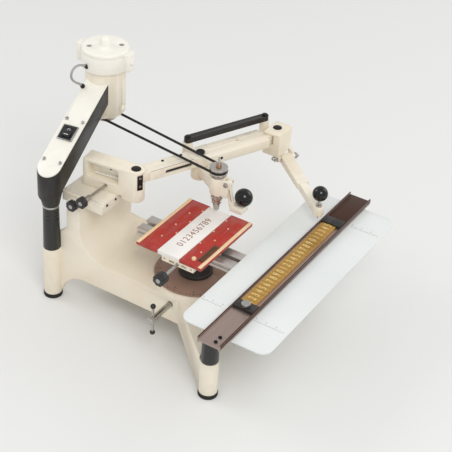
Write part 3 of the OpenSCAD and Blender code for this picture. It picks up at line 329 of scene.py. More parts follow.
def startGroup(name, inputs, outputs):
    group = bpy.data.node_groups.new(name, "ShaderNodeTree")
    for label, kind, value in inputs:
        socket = group.interface.new_socket(name=label, in_out="INPUT", socket_type=kind)
        socket.default_value = value
    for label, kind in outputs:
        group.interface.new_socket(name=label, in_out="OUTPUT", socket_type=kind)
    return group, addNode(group, "NodeGroupInput"), addNode(group, "ShaderNodeTexCoord")["Object"]


surfaceOutputs = [("Color", "NodeSocketColor"), ("Roughness", "NodeSocketFloat"),
                  ("Height", "NodeSocketFloat")]


def makeSurfaceGroup():
    # two tones in soft patches, a roughness that wanders, and a fine grain
    group, given, place = startGroup("surfaceVariation", [
        ("Main", "NodeSocketColor", (0.8, 0.8, 0.8, 1)), ("Second", "NodeSocketColor", (0.7, 0.7, 0.7, 1)),
        ("Patch Scale", "NodeSocketFloat", 9.0), ("Grain Scale", "NodeSocketFloat", 900.0),
        ("Rough Low", "NodeSocketFloat", 0.3), ("Rough High", "NodeSocketFloat", 0.5),
    ], surfaceOutputs)
    patches = narrowed(group, addNoise(group, place, given["Patch Scale"], 4), 0.35, 0.7)
    grain = addNoise(group, place, given["Grain Scale"], 3)
    addNode(group, "NodeGroupOutput", {
        "Color": mixed(group, patches, given["Main"], given["Second"]),
        "Roughness": spread(group, grain, given["Rough Low"], given["Rough High"]), "Height": grain})
    return group


def makeWearGroup():
    # paint rubbed thin along edges, broken up by noise
    group, given, place = startGroup("edgeWear", [
        ("Color", "NodeSocketColor", (0.8, 0.8, 0.8, 1)), ("Bare", "NodeSocketColor", (0.5, 0.5, 0.5, 1)),
        ("Amount", "NodeSocketFloat", 0.5), ("Break Scale", "NodeSocketFloat", 60.0),
    ], [("Color", "NodeSocketColor"), ("Mask", "NodeSocketFloat")])
    edge = narrowed(group, addNode(group, "ShaderNodeNewGeometry")["Pointiness"], 0.53, 0.62)
    broken = narrowed(group, addNoise(group, place, given["Break Scale"], 5), 0.45, 0.65)
    worn = calculated(group, "ShaderNodeMath", "MULTIPLY", edge, broken)["Value"]
    amount = calculated(group, "ShaderNodeMath", "MULTIPLY", worn, given["Amount"])["Value"]
    addNode(group, "NodeGroupOutput", {
        "Color": mixed(group, amount, given["Color"], given["Bare"]), "Mask": amount})
    return group


def makeStreakGroup():
    # drawn or turned metal: noise stretched by the Stretch vector, or rings round Centre
    group, given, place = startGroup("toolMarks", [
        ("Main", "NodeSocketColor", (0.7, 0.7, 0.7, 1)), ("Second", "NodeSocketColor", (0.6, 0.6, 0.6, 1)),
        ("Stretch", "NodeSocketVector", (20, 900, 900)), ("Centre", "NodeSocketVector", (0, 0, 0)),
        ("Rings", "NodeSocketFloat", 0.0), ("Rough Low", "NodeSocketFloat", 0.2),
        ("Rough High", "NodeSocketFloat", 0.4),
    ], surfaceOutputs)
    centred = calculated(group, "ShaderNodeVectorMath", "SUBTRACT", place, given["Centre"])["Vector"]
    parts = addNode(group, "ShaderNodeSeparateXYZ", {"Vector": centred})
    flat = addNode(group, "ShaderNodeCombineXYZ", {"X": parts["X"], "Y": parts["Y"]})["Vector"]
    radius = addNode(group, "ShaderNodeVectorMath", {0: flat}, operation="LENGTH")["Value"]
    ringPlace = addNode(group, "ShaderNodeCombineXYZ", {"X": radius, "Z": parts["Z"]})["Vector"]
    chosen = addNode(group, "ShaderNodeMix", {"Factor": given["Rings"], "A": centred, "B": ringPlace},
                     data_type="VECTOR")["Result"]
    stretched = calculated(group, "ShaderNodeVectorMath", "MULTIPLY", chosen, given["Stretch"])["Vector"]
    marks = addNoise(group, stretched, 1.0, 4)
    addNode(group, "NodeGroupOutput", {
        "Color": mixed(group, marks, given["Main"], given["Second"]),
        "Roughness": spread(group, marks, given["Rough Low"], given["Rough High"]), "Height": marks})
    return group


surfaceGroup = makeSurfaceGroup()
wearGroup = makeWearGroup()
streakGroup = makeStreakGroup()


def startMaterial(name):
    material = bpy.data.materials.new(name)
    material.use_nodes = True
    return material, material.node_tree, material.node_tree.nodes["Principled BSDF"]


def addBump(tree, height, strength, distance):
    return addNode(tree, "ShaderNodeBump", {"Height": height, "Strength": strength,
                                            "Distance": distance * mmUnit})["Normal"]


def coatedMaterial(name, main, second, rough, patch=9.0, grain=700.0, bump=0.1, depth=0.1, coat=0.0,
                   wear=0.0, bare=(150, 145, 135)):
    # paint, enamel, moulded plastic and rubber
    material, tree, shader = startMaterial(name)
    surface = addNode(tree, "ShaderNodeGroup", {
        "Main": linear(*main), "Second": linear(*second), "Patch Scale": patch, "Grain Scale": grain,
        "Rough Low": rough[0], "Rough High": rough[1]}, node_tree=surfaceGroup)
    edge = addNode(tree, "ShaderNodeGroup", {
        "Color": surface["Color"], "Bare": linear(*bare), "Amount": wear}, node_tree=wearGroup)
    plug(tree, shader, {
        "Base Color": edge["Color"], "Roughness": surface["Roughness"], "Metallic": 0.0,
        "Coat Weight": coat, "Coat Roughness": 0.12,
        "Normal": addBump(tree, surface["Height"], bump, depth)})
    return material


def metalMaterial(name, main, second, rough, stretch, centre=(0, 0, 0), rings=0.0, metallic=1.0):
    material, tree, shader = startMaterial(name)
    marks = addNode(tree, "ShaderNodeGroup", {
        "Main": linear(*main), "Second": linear(*second), "Stretch": stretch, "Centre": centre,
        "Rings": rings, "Rough Low": rough[0], "Rough High": rough[1]}, node_tree=streakGroup)
    plug(tree, shader, {
        "Base Color": marks["Color"], "Roughness": marks["Roughness"], "Metallic": metallic,
        "Normal": addBump(tree, marks["Height"], strength=0.15, distance=0.02)})
    return material


# main and second colour, lowest and highest roughness, and what differs from the usual coat
coats = {
    "creamEnamel": ((240, 232, 215), (235, 224, 202), (0.3, 0.46),
                    {"coat": 0.25, "wear": 0.25, "bump": 0.12}),
    "castEnamel": ((238, 229, 211), (233, 220, 197), (0.36, 0.54),
                   {"patch": 6, "grain": 420, "coat": 0.2, "wear": 0.25, "bump": 0.22, "depth": 0.2}),
    "paleEnamel": ((246, 243, 234), (240, 235, 222), (0.28, 0.42), {"coat": 0.25, "wear": 0.15}),
    "blackEnamelAndPaintedShade": ((30, 28, 28), (40, 36, 33), (0.34, 0.5),
                    {"grain": 1100, "bump": 0.3, "wear": 0.3, "bare": (120, 115, 108)}),
    "redEnamel": ((178, 38, 26), (163, 33, 23), (0.32, 0.48),
                  {"patch": 30, "coat": 0.2, "wear": 0.35, "bare": (190, 150, 130)}),
    "darkRed": ((58, 24, 20), (44, 20, 18), (0.35, 0.5), {"wear": 0.3}),
    "plateWhite": ((229, 232, 230), (221, 225, 223), (0.22, 0.34),
                   {"patch": 5, "grain": 500, "bump": 0.05, "coat": 0.3}),
    "workWhite": ((242, 238, 232), (233, 228, 224), (0.3, 0.42), {"patch": 20, "grain": 900, "bump": 0.05}),
    "mouldedBlack": ((17, 17, 18), (24, 24, 24), (0.24, 0.4),
                     {"patch": 40, "grain": 1600, "bump": 0.12, "depth": 0.05, "coat": 0.2}),
    "ballBlack": ((5, 5, 6), (8, 8, 9), (0.04, 0.09),
                  {"patch": 30, "grain": 60, "bump": 0.02, "depth": 0.05}),
    "satinBlack": ((20, 20, 20), (28, 28, 27), (0.28, 0.42), {"patch": 25, "grain": 900, "coat": 0.25}),
    "rubberBlack": ((19, 18, 18), (29, 28, 27), (0.62, 0.85),
                    {"patch": 30, "grain": 1200, "bump": 0.3, "depth": 0.08}),
    "leadGrey": ((172, 169, 165), (150, 147, 144), (0.45, 0.6), {"patch": 40, "grain": 1200, "bump": 0.15}),
    "inkBlack": ((30, 28, 30), (40, 38, 38), (0.5, 0.7), {"patch": 60, "grain": 2000, "depth": 0.02}),
    "typeInk": ((236, 210, 146), (222, 192, 122), (0.4, 0.6), {"patch": 80, "grain": 1500, "depth": 0.02}),
    "inkBrown": ((150, 96, 82), (132, 84, 74), (0.5, 0.7), {"patch": 60, "grain": 2000, "depth": 0.02}),
    "creamStrip": ((238, 208, 168), (229, 194, 150), (0.35, 0.5), {"patch": 25}),
}


def ringsRound(x, y, stretch=(1400, 1400, 1400)):
    # the marks of a piece turned round the upright axis through x, y
    return {"stretch": stretch, "centre": (x * mmUnit, y * mmUnit, 0), "rings": 1.0}


# the same for metals, with the way that their tool marks run
metals = {
    "discBrown": ((172, 142, 126), (150, 120, 106), (0.35, 0.5),
                  {**ringsRound(*layout["turntable"], (900, 900, 60)), "metallic": 0.25}),
    "steel": ((196, 194, 190), (170, 168, 165), (0.2, 0.36), {"stretch": (300, 300, 300)}),
    "darkSteel": ((62, 60, 60), (46, 45, 46), (0.28, 0.42), {"stretch": (500, 500, 500)}),
    "railAlu": ((214, 209, 204), (196, 190, 185), (0.3, 0.42), {"stretch": (900, 12, 900), "metallic": 0.85}),
    "pinkAlu": ((186, 168, 160), (160, 140, 131), (0.28, 0.4), {"stretch": (12, 900, 900), "metallic": 0.85}),
    "brownAnodised": ((92, 64, 52), (66, 44, 36), (0.3, 0.45), {"stretch": (12, 900, 900), "metallic": 0.7}),
    "stopAlu": ((150, 118, 96), (118, 88, 72), (0.3, 0.45), {"stretch": (12, 900, 900)}),
    "typeBrass": ((214, 172, 96), (190, 146, 74), (0.28, 0.44), {"stretch": (90, 700, 700), "metallic": 0.8}),
    "copperRing": ((196, 160, 132), (168, 132, 106), (0.25, 0.4), {"stretch": (700, 700, 700)}),
    "quillSteel": ((200, 196, 188), (170, 164, 154), (0.2, 0.35), ringsRound(*spindle)),
    "pulleyAlu": ((206, 203, 198), (182, 178, 172), (0.22, 0.36), ringsRound(*spindle)),
    "motorPulleyAlu": ((200, 197, 190), (178, 174, 168), (0.25, 0.4), ringsRound(*motor)),
}
finish = {name: coatedMaterial(name, *tones, **more) for name, (*tones, more) in coats.items()}
finish.update({name: metalMaterial(name, *tones, **more) for name, (*tones, more) in metals.items()})
print("materials made,", len(finish))


def dress(piece, look):
    piece.data.materials.clear()
    piece.data.materials.append(finish[look])
    return piece


def fit(piece, body, look, replaced=()):
    dress(piece, look)
    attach(piece, body)
    if replaced:
        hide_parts(*replaced)
    return piece


def screwSet(name, form, places, body, look, replaced=()):
    # the same screw head at each place, as one piece
    screw = screwHead(**form)
    heads = [copied(screw, place) for place in places]
    bpy.data.objects.remove(screw)
    return fit(joined(name, heads), body, look, replaced)


# ---- cords: the motor's lead, from the cap down to the cover plate

lead = {"route": [(-40.7, 10.6, 7), (-50.7, 11.6, 14), (-62.7, 12.1, 20), (-74.7, 12.6, 22),
                  (-85.7, 12.6, 18), (-90.2, 12.6, 9), (-86.7, 12.6, -1), (-76.7, 12.6, -11),
                  (-64.7, 12.6, -19.5), (-56.7, 12.6, -27), (-52.9, 12.4, -31)],
        "capLow": 410.0, "diameter": 4.6, "steps": 4, "grommetSteps": 32,
        "grommet": [(2.35, 3), (4.6, 3), (4.6, 5.2), (4.0, 5.8), (3.6, 8.5), (2.9, 11.5), (2.35, 12.0)]}
leadPoints = [(motor[0] + x, motor[1] + y, lead["capLow"] + z) for x, y, z in lead["route"]]


def throughPoints(points, steps):
    # the same smooth curve through the route's points as in the source
    route = []
    last = len(points) - 1
    vectors = [Vector(p) for p in points]
    for i in range(last):
        a, b, c, d = (vectors[max(i - 1, 0)], vectors[i], vectors[i + 1], vectors[min(i + 2, last)])
        for k in range(steps):
            t = k / steps
            route.append(0.5 * (2 * b + (c - a) * t + (2 * a - 5 * b + 4 * c - d) * t * t
                                + (3 * b - a - 3 * c + d) * t ** 3))
    route.append(vectors[last])
    return route


def curveTube(name, points, diameter, cyclic=False, resolution=6):
    data = bpy.data.curves.new(name, "CURVE")
    data.dimensions = "3D"
    data.bevel_depth = diameter / 2 * mmUnit
    data.bevel_resolution = resolution
    data.use_fill_caps = True
    spline = data.splines.new("POLY")
    spline.points.add(len(points) - 1)
    for spot, point in zip(spline.points, points):
        spot.co = (*(Vector(point) * mmUnit), 1)
    spline.use_cyclic_u = cyclic
    spline.use_smooth = True
    piece = bpy.data.objects.new(name, data)
    bpy.context.scene.collection.objects.link(piece)
    return piece


def makeLead():
    route = throughPoints(leadPoints, lead["steps"])
    cable = curveTube("motorLeadCable", route, lead["diameter"])
    cable.data.materials.append(finish["leadGrey"])
    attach(cable, "motor_arm")
    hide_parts("motor_lead")
    # grommets where it leaves the cap and enters the cover
    start, after = Vector(leadPoints[0]), Vector(leadPoints[1])
    end, before = Vector(leadPoints[-1]), Vector(leadPoints[-2])
    for name, at, towards in (("leadGrommetCap", start, after), ("leadGrommetArm", end, before)):
        turn = (towards - at).to_track_quat("Z", "Y").to_matrix().to_4x4()
        place = Matrix.Translation(at * mmUnit) @ turn
        grommet = turnedPiece(name, lead["grommet"], place, lead["grommetSteps"])
        fit(grommet, "motor_arm", "rubberBlack")


makeLead()
print("lead made")


# ---- the round belt

belt = {"thickness": 5.0, "motorRadius": 19.5, "spindleRadius": 15.5, "steps": 24}


def makeBelt():
    # an arc round each pulley, joined by the straight runs
    run = Vector(spindle) - Vector(motor)
    reach = run.length
    base = math.atan2(run.y, run.x)
    opening = math.acos((belt["motorRadius"] - belt["spindleRadius"]) / reach)
    points = []
    for radius, along, first, sweep in (
            (belt["motorRadius"], 0, opening, 2 * math.pi - 2 * opening),
            (belt["spindleRadius"], reach, -opening, 2 * opening)):
        for k in range(belt["steps"] + 1):
            a = first + sweep * k / belt["steps"]
            points.append((along + radius * math.cos(a), radius * math.sin(a)))
    turned = [(motor[0] + x * math.cos(base) - y * math.sin(base),
               motor[1] + x * math.sin(base) + y * math.cos(base), layout["beltLevel"])
              for x, y in points]
    loop = curveTube("roundBelt", turned, belt["thickness"], cyclic=True)
    only(loop)
    bpy.ops.object.convert(target="MESH")
    loop = smooth(bpy.context.object, degrees=60)
    fit(loop, "belt", "rubberBlack", ["drive_belt"])


makeBelt()
print("belt made")


# ---- castings and other solids of the frame with their edges rounded

softEdges = {  # millimetres of rounding, look
    "base_casting": (1.4, "castEnamel"), "saddle": (0.8, "creamEnamel"), "bracket": (1.4, "creamEnamel"),
    "inner_arm": (1.0, "creamEnamel"), "outer_arm": (1.0, "creamEnamel"),
    "spindle_bracket": (1.0, "creamEnamel"), "tracer_block": (1.2, "creamEnamel"),
    "tracer_arm": (0.9, "creamEnamel"), "lift_lever": (0.7, "creamEnamel"),
    "arm_casting": (1.0, "blackEnamelAndPaintedShade"), "arm_cover": (0.6, "paleEnamel"),
    "motor_housing": (1.2, "creamEnamel"), "motor_cap": (0.8, "paleEnamel"),
    # the turntable hub is coloured black as painted shade: it stands for the shadow that falls on it under
    # the vice
    "turntable_hub": (1.0, "blackEnamelAndPaintedShade"), "slot_rail": (0.3, "railAlu"),
    "vice_body": (0.4, "creamEnamel"), "cross_bars": (0.2, "steel"),
    "work_plate": (0.3, "workWhite"), "jaw_back": (0.3, "redEnamel"), "jaw_front": (0.3, "redEnamel"),
    "edge_profile": (0.15, "stopAlu"), "carriage_lock": (0.5, "darkRed"),
    "copy_plate": (0.4, "plateWhite"), "copy_guide": (0.3, "blackEnamelAndPaintedShade"), "copy_rail": (0.3, "pinkAlu"),
    "clamp_left": (0.4, "blackEnamelAndPaintedShade"), "clamp_right": (0.4, "blackEnamelAndPaintedShade"),
    "switch_frame": (0.4, "mouldedBlack"), "switch_rocker": (0.4, "mouldedBlack"),
    "foot_pads": (1.0, "rubberBlack"), "column_spigot": (0.3, "steel"),
    "graduated_disc": (0.3, "discBrown"), "main_pin": (0.4, "darkSteel"),
    "spindle_pin": (0.4, "darkSteel"), "tracer_pin": (0.4, "darkSteel"), "hinge_pin": (0.3, "steel"),
    "spindle_pulley": (0.3, "pulleyAlu"), "motor_pulley": (0.3, "motorPulleyAlu"),
    "column_sleeve": (0.4, "satinBlack"), "front_sleeves": (0.6, "satinBlack"),
    "link_rod": (0.4, "blackEnamelAndPaintedShade"), "quill": (0.3, "quillSteel"), "slot_plate": (0.25, "darkSteel"),
    "saddle_knob": (0.8, "mouldedBlack"), "head_knob": (0.8, "mouldedBlack"),
    "vice_knob": (0.9, "mouldedBlack"), "brush_caps": (0.4, "paleEnamel"),
    "clamp_thumb": (0.5, "steel"), "vice_screw": (0.4, "steel"), "collet_nut": (0.5, "copperRing"),
    "spindle_shaft": (0.2, "steel"), "stylus": (0.2, "steel"),
    "side_screw": (0.5, "steel"), "lever_ball": (0.3, "ballBlack"), "tracer_ball": (0.3, "ballBlack"),
}
plainLooks = {  # solids that another piece replaces take a look of their own too
    "depth_collar": "quillSteel", "type_strip": "typeBrass", "arm_screws": "steel",
}
clampedEdges = ("motor_cap",)
softening = {"weld": 2e-6, "flatDegrees": 0.3, "sharpDegrees": 38, "smoothDegrees": 35, "segments": 2}
studEnd = -2.0  # the steel studs of the two moulded knobs reach past this x


def soften(nodeName, width, look):
    piece = bpy.data.objects.new(nodeName + ".finished", nodes[nodeName].data.copy())
    bpy.context.scene.collection.objects.link(piece)
    only(piece)
    bpy.ops.object.mode_set(mode="EDIT")
    bpy.ops.mesh.select_all(action="SELECT")
    bpy.ops.mesh.remove_doubles(threshold=softening["weld"])
    bpy.ops.mesh.dissolve_limited(angle_limit=math.radians(softening["flatDegrees"]))
    bpy.ops.object.mode_set(mode="OBJECT")
    bevel = piece.modifiers.new("edges", "BEVEL")
    bevel.width = width * mmUnit
    bevel.segments = softening["segments"]
    bevel.limit_method = "ANGLE"
    bevel.angle_limit = math.radians(softening["sharpDegrees"])
    bevel.use_clamp_overlap = nodeName in clampedEdges
    applyAll(piece)
    smooth(piece, softening["smoothDegrees"])
    return fit(piece, bodyOf[nodeName], look, [nodeName])


softened = {nodeName: soften(nodeName, width, look) for nodeName, (width, look) in softEdges.items()}
for nodeName in ("saddle_knob", "head_knob"):
    knob = softened[nodeName].data
    knob.materials.append(finish["steel"])
    for face in knob.polygons:
        if face.center.x > studEnd * mmUnit:
            face.material_index = 1
for nodeName, look in plainLooks.items():
    dress(nodes[nodeName], look)
print("castings softened,", len(softEdges))


# ---- motor arm: cover screws, switch bezel and marks, lid screws

motorArm = {"coverScrew": {"diameter": 7.5, "height": 1.8, "slotTurn": 30}, "coverScrewStep": 40,
            "coverScrewPlaces": ((9, 17), (9, -17), (105, 17), (105, -17)),
            "lidScrew": {"diameter": 9.6, "height": 2.2}, "lidScrewRadius": 31,
            "lidScrewTurns": (132, -48), "lidScrewSink": 3, "lidSlotTurn": 25, "lidSlotStep": 70}
switch = {"at": 75, "bezelSide": (1.6, 31, 0.8), "bezelEnd": (31.2, 1.6, 0.8),
          "bezelHalf": (16.4, 14.7), "bezelLevel": 1.9, "bezelEdge": 0.25,
          "line": (1.5, 9.5, 0.3), "lineAt": (-5.6, 4.55), "lineTilt": 15.3, "lineEdge": 0.08,
          "ringRadius": 2.6, "ringTubeRadius": 0.4, "ringAt": (6.0, 2.45), "ringTilt": -5.2}


def makeCoverScrews():
    places = [placed(armFrame, u, v, 0, rz=motorArm["coverScrewStep"] * i)
              for i, (u, v) in enumerate(motorArm["coverScrewPlaces"])]
    screwSet("coverScrews", motorArm["coverScrew"], places, "motor_arm", "steel",
             ["arm_screws"])


def makeSwitchDetails():
    # a bezel round the switch, and the line and ring on its rocker
    middle = switch["at"]
    halfLength, halfWidth = switch["bezelHalf"]
    strips = [boxPiece("bezel", size, placed(armFrame, middle + u, v, switch["bezelLevel"]),
                       switch["bezelEdge"])
              for size, u, v in ((switch["bezelSide"], -halfLength, 0),
                                 (switch["bezelSide"], halfLength, 0),
                                 (switch["bezelEnd"], 0, halfWidth),
                                 (switch["bezelEnd"], 0, -halfWidth))]
    fit(joined("switchBezel", strips), "motor_arm", "steel")
    u, level = switch["lineAt"]
    line = boxPiece("line", switch["line"], placed(armFrame, middle + u, 0, level,
                                                   ry=switch["lineTilt"]), switch["lineEdge"])
    deselect()
    bpy.ops.mesh.primitive_torus_add(major_radius=switch["ringRadius"] * mmUnit,
                                     minor_radius=switch["ringTubeRadius"] * mmUnit,
                                     major_segments=32, minor_segments=8)
    ring = bpy.context.object
    u, level = switch["ringAt"]
    ring.matrix_world = placed(armFrame, middle + u, 0, level, ry=switch["ringTilt"])
    marks = joined("rockerMarks", [line, settle(ring)])
    fit(marks, "rocker", "plateWhite")


def makeLidScrews():
    places = []
    for i, turn in enumerate(motorArm["lidScrewTurns"]):
        x, y = added(motor, turnedPoint(motorArm["lidScrewRadius"], turn))
        places.append(placed(worldFrame, x, y, layout["capTop"] - motorArm["lidScrewSink"],
                             rz=motorArm["lidSlotTurn"] + motorArm["lidSlotStep"] * i))
    screwSet("lidScrews", motorArm["lidScrew"], places, "motor_arm", "steel")


makeCoverScrews()
makeSwitchDetails()
makeLidScrews()
print("motor arm details made")


# ---- head: what shows in the bracket's window, and the small screws

headDetails = {"windowBack": -3.0,  # places in the window are counted from here
               "link": {"size": (40, 3.0, 9), "at": (57, 1.5, 277), "tilt": -3},
               "shelf": {"size": (58, 6.0, 4), "at": (60, 3.0, 264.6), "edge": 1.0},
               "latch": {"size": (16, 6.0, 4), "at": (47, 3.0, 287), "tilt": 6},
               "stem": {"diameter": 3, "height": 9, "at": (52, 4.0, 279), "tilt": 35},
               "screw": {"diameter": 5.2, "height": 1.4, "hexKey": True},
               "plateTurn": 35.0, "plateFace": 16.3, "plateScrews": (286, 268),
               "saddleFace": -105.0, "saddleScrews": (35, 62), "saddleScrewLevel": 233}


def windowPlace(at, tilt):
    x, y, z = at
    return placed(bracketFrame, x, headDetails["windowBack"] + y, z, ry=tilt)


def windowBar(name, size, at, tilt=0, edge=0.8):
    return boxPiece(name, size, windowPlace(at, tilt), edge)


def makeHeadDetails():
    strips = [windowBar(name, **headDetails[name]) for name in ("link", "shelf")]
    fit(joined("windowLink", strips), "head", "paleEnamel")
    latch = windowBar("latch", **headDetails["latch"])
    rod = headDetails["stem"]
    stem = discPiece("stem", rod["diameter"], rod["height"], windowPlace(rod["at"], rod["tilt"]),
                     sides=24)
    fit(joined("windowLatch", [latch, stem]), "head", "darkSteel")
    nose = bracketFrame @ Matrix.Rotation(math.radians(180 - headDetails["plateTurn"]), 4, "Z")
    places = [placed(nose, headDetails["plateFace"], 0, z, ry=90) for z in headDetails["plateScrews"]]
    screwSet("plateScrews", headDetails["screw"], places, "head", "steel")
    places = [placed(worldFrame, x, headDetails["saddleFace"], headDetails["saddleScrewLevel"], rx=90)
              for x in headDetails["saddleScrews"]]
    screwSet("saddleScrews", headDetails["screw"], places, "base", "darkSteel")


makeHeadDetails()
print("head details made")


# ---- rows of ticks for the scales

def tickRow(name, place, count, step, size, longEvery, longSize, edge=0.02):
    # small ticks in a row along the place's x, each longEvery-th one longer
    rows = []
    for every, length, number in ((1, size[1], count), (longEvery, longSize, (count - 1) // longEvery + 1)):
        at = place @ Matrix.Translation(Vector((0, length / 2, 0)) * mmUnit)
        tick = boxPiece("tick", (size[0], length, size[2]), worldFrame, edge, 1)
        row = tick.modifiers.new("row", "ARRAY")
        row.use_relative_offset = False
        row.use_constant_offset = True
        row.constant_offset_displace = (step * every * mmUnit, 0, 0)
        row.count = number
        applyAll(tick)
        tick.matrix_world = at
        rows.append(settle(tick))
    return joined(name, rows)


# ---- bars: a black strip of painted shade in the side slot, a dark line of painted shade along the groove on top, small screws, the scale

bars = {"slot": (58.0, 3.0, 6.6), "slotAt": (84.7, -11.6, 9.5), "slotEdge": 0.4,
        "lineFrom": 22.0, "lineTo": 118.0, "lineSection": (1.0, 0.3), "lineAt": (-14.2, 19.05),
        "lineEdge": 0.1, "screw": {"diameter": 5.4, "height": 1.6, "hexKey": True},
        "innerScrews": ((62, 8.5), (103, 9.5)), "outerScrew": (91.7, 9.0, 13),
        "sideScrew": (34.0, -22.6, 10), "scaleAt": (28.0, 6, 18),
        "scale": {"count": 16, "step": 3.0, "size": (0.3, 2.4, 0.06), "longEvery": 5, "longSize": 4.2}}


def makeBarDetails():
    # black strips stand in for the shade inside the side slot and the groove along the top: painted shade
    slotShade = boxPiece("slotShade", bars["slot"], placed(barFrame, *bars["slotAt"]), bars["slotEdge"])
    length = bars["lineTo"] - bars["lineFrom"]
    line = boxPiece("line", (length, *bars["lineSection"]),
                    placed(barFrame, bars["lineFrom"] + length / 2, *bars["lineAt"]), bars["lineEdge"])
    fit(joined("armSlotPaintedShade", [slotShade, line]), "main_bar", "blackEnamelAndPaintedShade")
    places = [placed(barFrame, x, y, layout["barHeight"]) for x, y in bars["innerScrews"]]
    screwSet("innerArmScrews", bars["screw"], places, "main_bar", "darkSteel")
    places = [placed(outerFrame, *bars["outerScrew"]), placed(outerFrame, *bars["sideScrew"], rx=90)]
    screwSet("outerArmScrews", bars["screw"], places, "main_bar", "darkSteel")
    scale = tickRow("armScale", placed(outerFrame, *bars["scaleAt"]), **bars["scale"])
    fit(scale, "main_bar", "inkBlack")


makeBarDetails()
print("bar details made")


# ---- spindle: the turned collar with its copper band, the lever's pivot screws

spindleDetails = {
    "collarLow": 230.0,
    "collar": [(6.15, 0), (8.6, 0), (9.6, 0.8), (9.6, 4.2), (8.2, 5.2), (8.2, 8.6), (11.4, 10.0),
               (12.0, 10.8), (12.0, 14.0), (11.2, 14.6), (11.2, 15.6), (12.0, 16.2), (12.0, 19.6),
               (11.0, 21.0), (6.15, 21.0), (6.15, 0)],
    "band": [(8.1, 5.6), (8.9, 5.8), (8.9, 8.0), (8.1, 8.2), (8.1, 5.6)],
    "lugHalf": 9.0, "pivotScrew": {"diameter": 9.5, "height": 2.4, "slotTurn": 25},
    "pivot": (-23, 281), "holderScrew": {"diameter": 5.0, "height": 1.6, "hexKey": True},
    "holderScrewsAt": ((-17, 268), (-17, 260)),
}


def makeSpindleDetails():
    x, y = spindle
    half = spindleDetails["lugHalf"]
    foot = placed(worldFrame, x, y, spindleDetails["collarLow"])
    collar = turnedPiece("turnedCollar", spindleDetails["collar"], foot, 64, 25)
    fit(collar, "collar", "quillSteel", ["depth_collar"])
    band = turnedPiece("copperBand", spindleDetails["band"], foot)
    fit(band, "collar", "copperRing")
    back, level = spindleDetails["pivot"]
    places = [placed(worldFrame, x + side * half, y + back, level, ry=90 * side) for side in (-1, 1)]
    screwSet("leverPivotScrews", spindleDetails["pivotScrew"], places, "lever", "steel")
    places = [placed(worldFrame, x + half, y + back, level, ry=90)
              for back, level in spindleDetails["holderScrewsAt"]]
    screwSet("holderScrews", spindleDetails["holderScrew"], places, "spindle_carrier",
             "darkSteel")


makeSpindleDetails()
print("spindle details made")


# ---- copy rail and side clamp: dark lips, the far end's lining, end screws, black bar ends

railDetails = {"middle": 129.0, "y": -451.0, "length": 551.0, "halfWidth": 23.0, "top": 198.3,
               "floor": 193.5, "margin": 1, "lip": (2.2, 0.5), "lipIn": 1.2, "lipSink": 0.1,
               "side": (0.4, 6.4), "sideLevel": 194.4, "sideEdge": 0.1,
               "lining": (308.0, 403.0), "liningSection": (40.6, 0.5), "liningRise": 0.2,
               "edge": 0.12, "screw": {"diameter": 7.0, "height": 1.6, "hexKey": True},
               "screws": ((-121, -458), (-135, -458))}
sideClamp = {"x": -49.0, "y": -272.0, "z": 96.0, "bar": 60.0, "endRadius": 5.2, "endHalf": 5.4,
             "endTurns": range(-70, 71, 10)}


def makeRailDetails():
    middle, y, floor = (railDetails[k] for k in ("middle", "y", "floor"))
    half = railDetails["halfWidth"]
    length = railDetails["length"] - railDetails["margin"]
    edge = railDetails["edge"]
    pieces = [boxPiece("lip", (length, *railDetails["lip"]),
                       placed(worldFrame, middle, y + side * (half - railDetails["lipIn"]),
                              railDetails["top"] - railDetails["lipSink"]), edge) for side in (-1, 1)]
    pieces.append(boxPiece("side", (length, *railDetails["side"]),
                           placed(worldFrame, middle, y - half, railDetails["sideLevel"]),
                           railDetails["sideEdge"]))
    start, end = railDetails["lining"]
    pieces.append(boxPiece("lining", (end - start, *railDetails["liningSection"]),
                           placed(worldFrame, (start + end) / 2, y, floor + railDetails["liningRise"]),
                           edge))
    fit(joined("railLining", pieces), "copy_slide", "brownAnodised")
    places = [placed(worldFrame, *at, floor) for at in railDetails["screws"]]
    screwSet("railScrews", railDetails["screw"], places, "copy_slide", "darkSteel")


def makeTommyBarEnds():
    half = sideClamp["endHalf"]
    profile = [(0, -half)] + [turnedPoint(sideClamp["endRadius"], a) for a in sideClamp["endTurns"]]
    profile.append((0, half))
    ends = [turnedPiece("end", profile,
                        placed(worldFrame, sideClamp["x"], sideClamp["y"],
                               sideClamp["z"] + side * sideClamp["bar"] / 2), 32, 60)
            for side in (-1, 1)]
    fit(joined("tommyBarEnds", ends), "side_clamp", "mouldedBlack")


makeRailDetails()
makeTommyBarEnds()
print("rail details made")


# ---- knobs: a bright insert in the middle of each fluted knob

knobInserts = {  # place, diameter, body, node
    "saddleKnobInsert": ((-13, -57, 236), 8, "saddle_clamp", "saddle_knob"),
    "headKnobInsert": ((-13, -80, 252), 8, "head_clamp", "head_knob"),
    "viceKnobInsert": ((-53, -283.5, 191), 9, "screw", "vice_knob"),
}
insertForm = {"rim": 0.5, "top": 0.9, "bevel": 0.6, "hole": (1.6, 1.4), "holeFloor": 0.3}


def makeKnobInserts():
    rim, top, floor = (insertForm[k] for k in ("rim", "top", "holeFloor"))
    mouth, bottom = insertForm["hole"]
    for name, (at, size, body, slot) in knobInserts.items():
        profile = [(0, 0), (size / 2, 0), (size / 2, rim), (size / 2 - insertForm["bevel"], top),
                   (mouth, top), (bottom, floor), (0, floor)]
        fit(turnedPiece(name, profile, placed(worldFrame, *at, ry=-90), 32), body, "steel")


makeKnobInserts()
print("knob inserts made")


# ---- vice: outer strips, pegs, digits, thumb screw

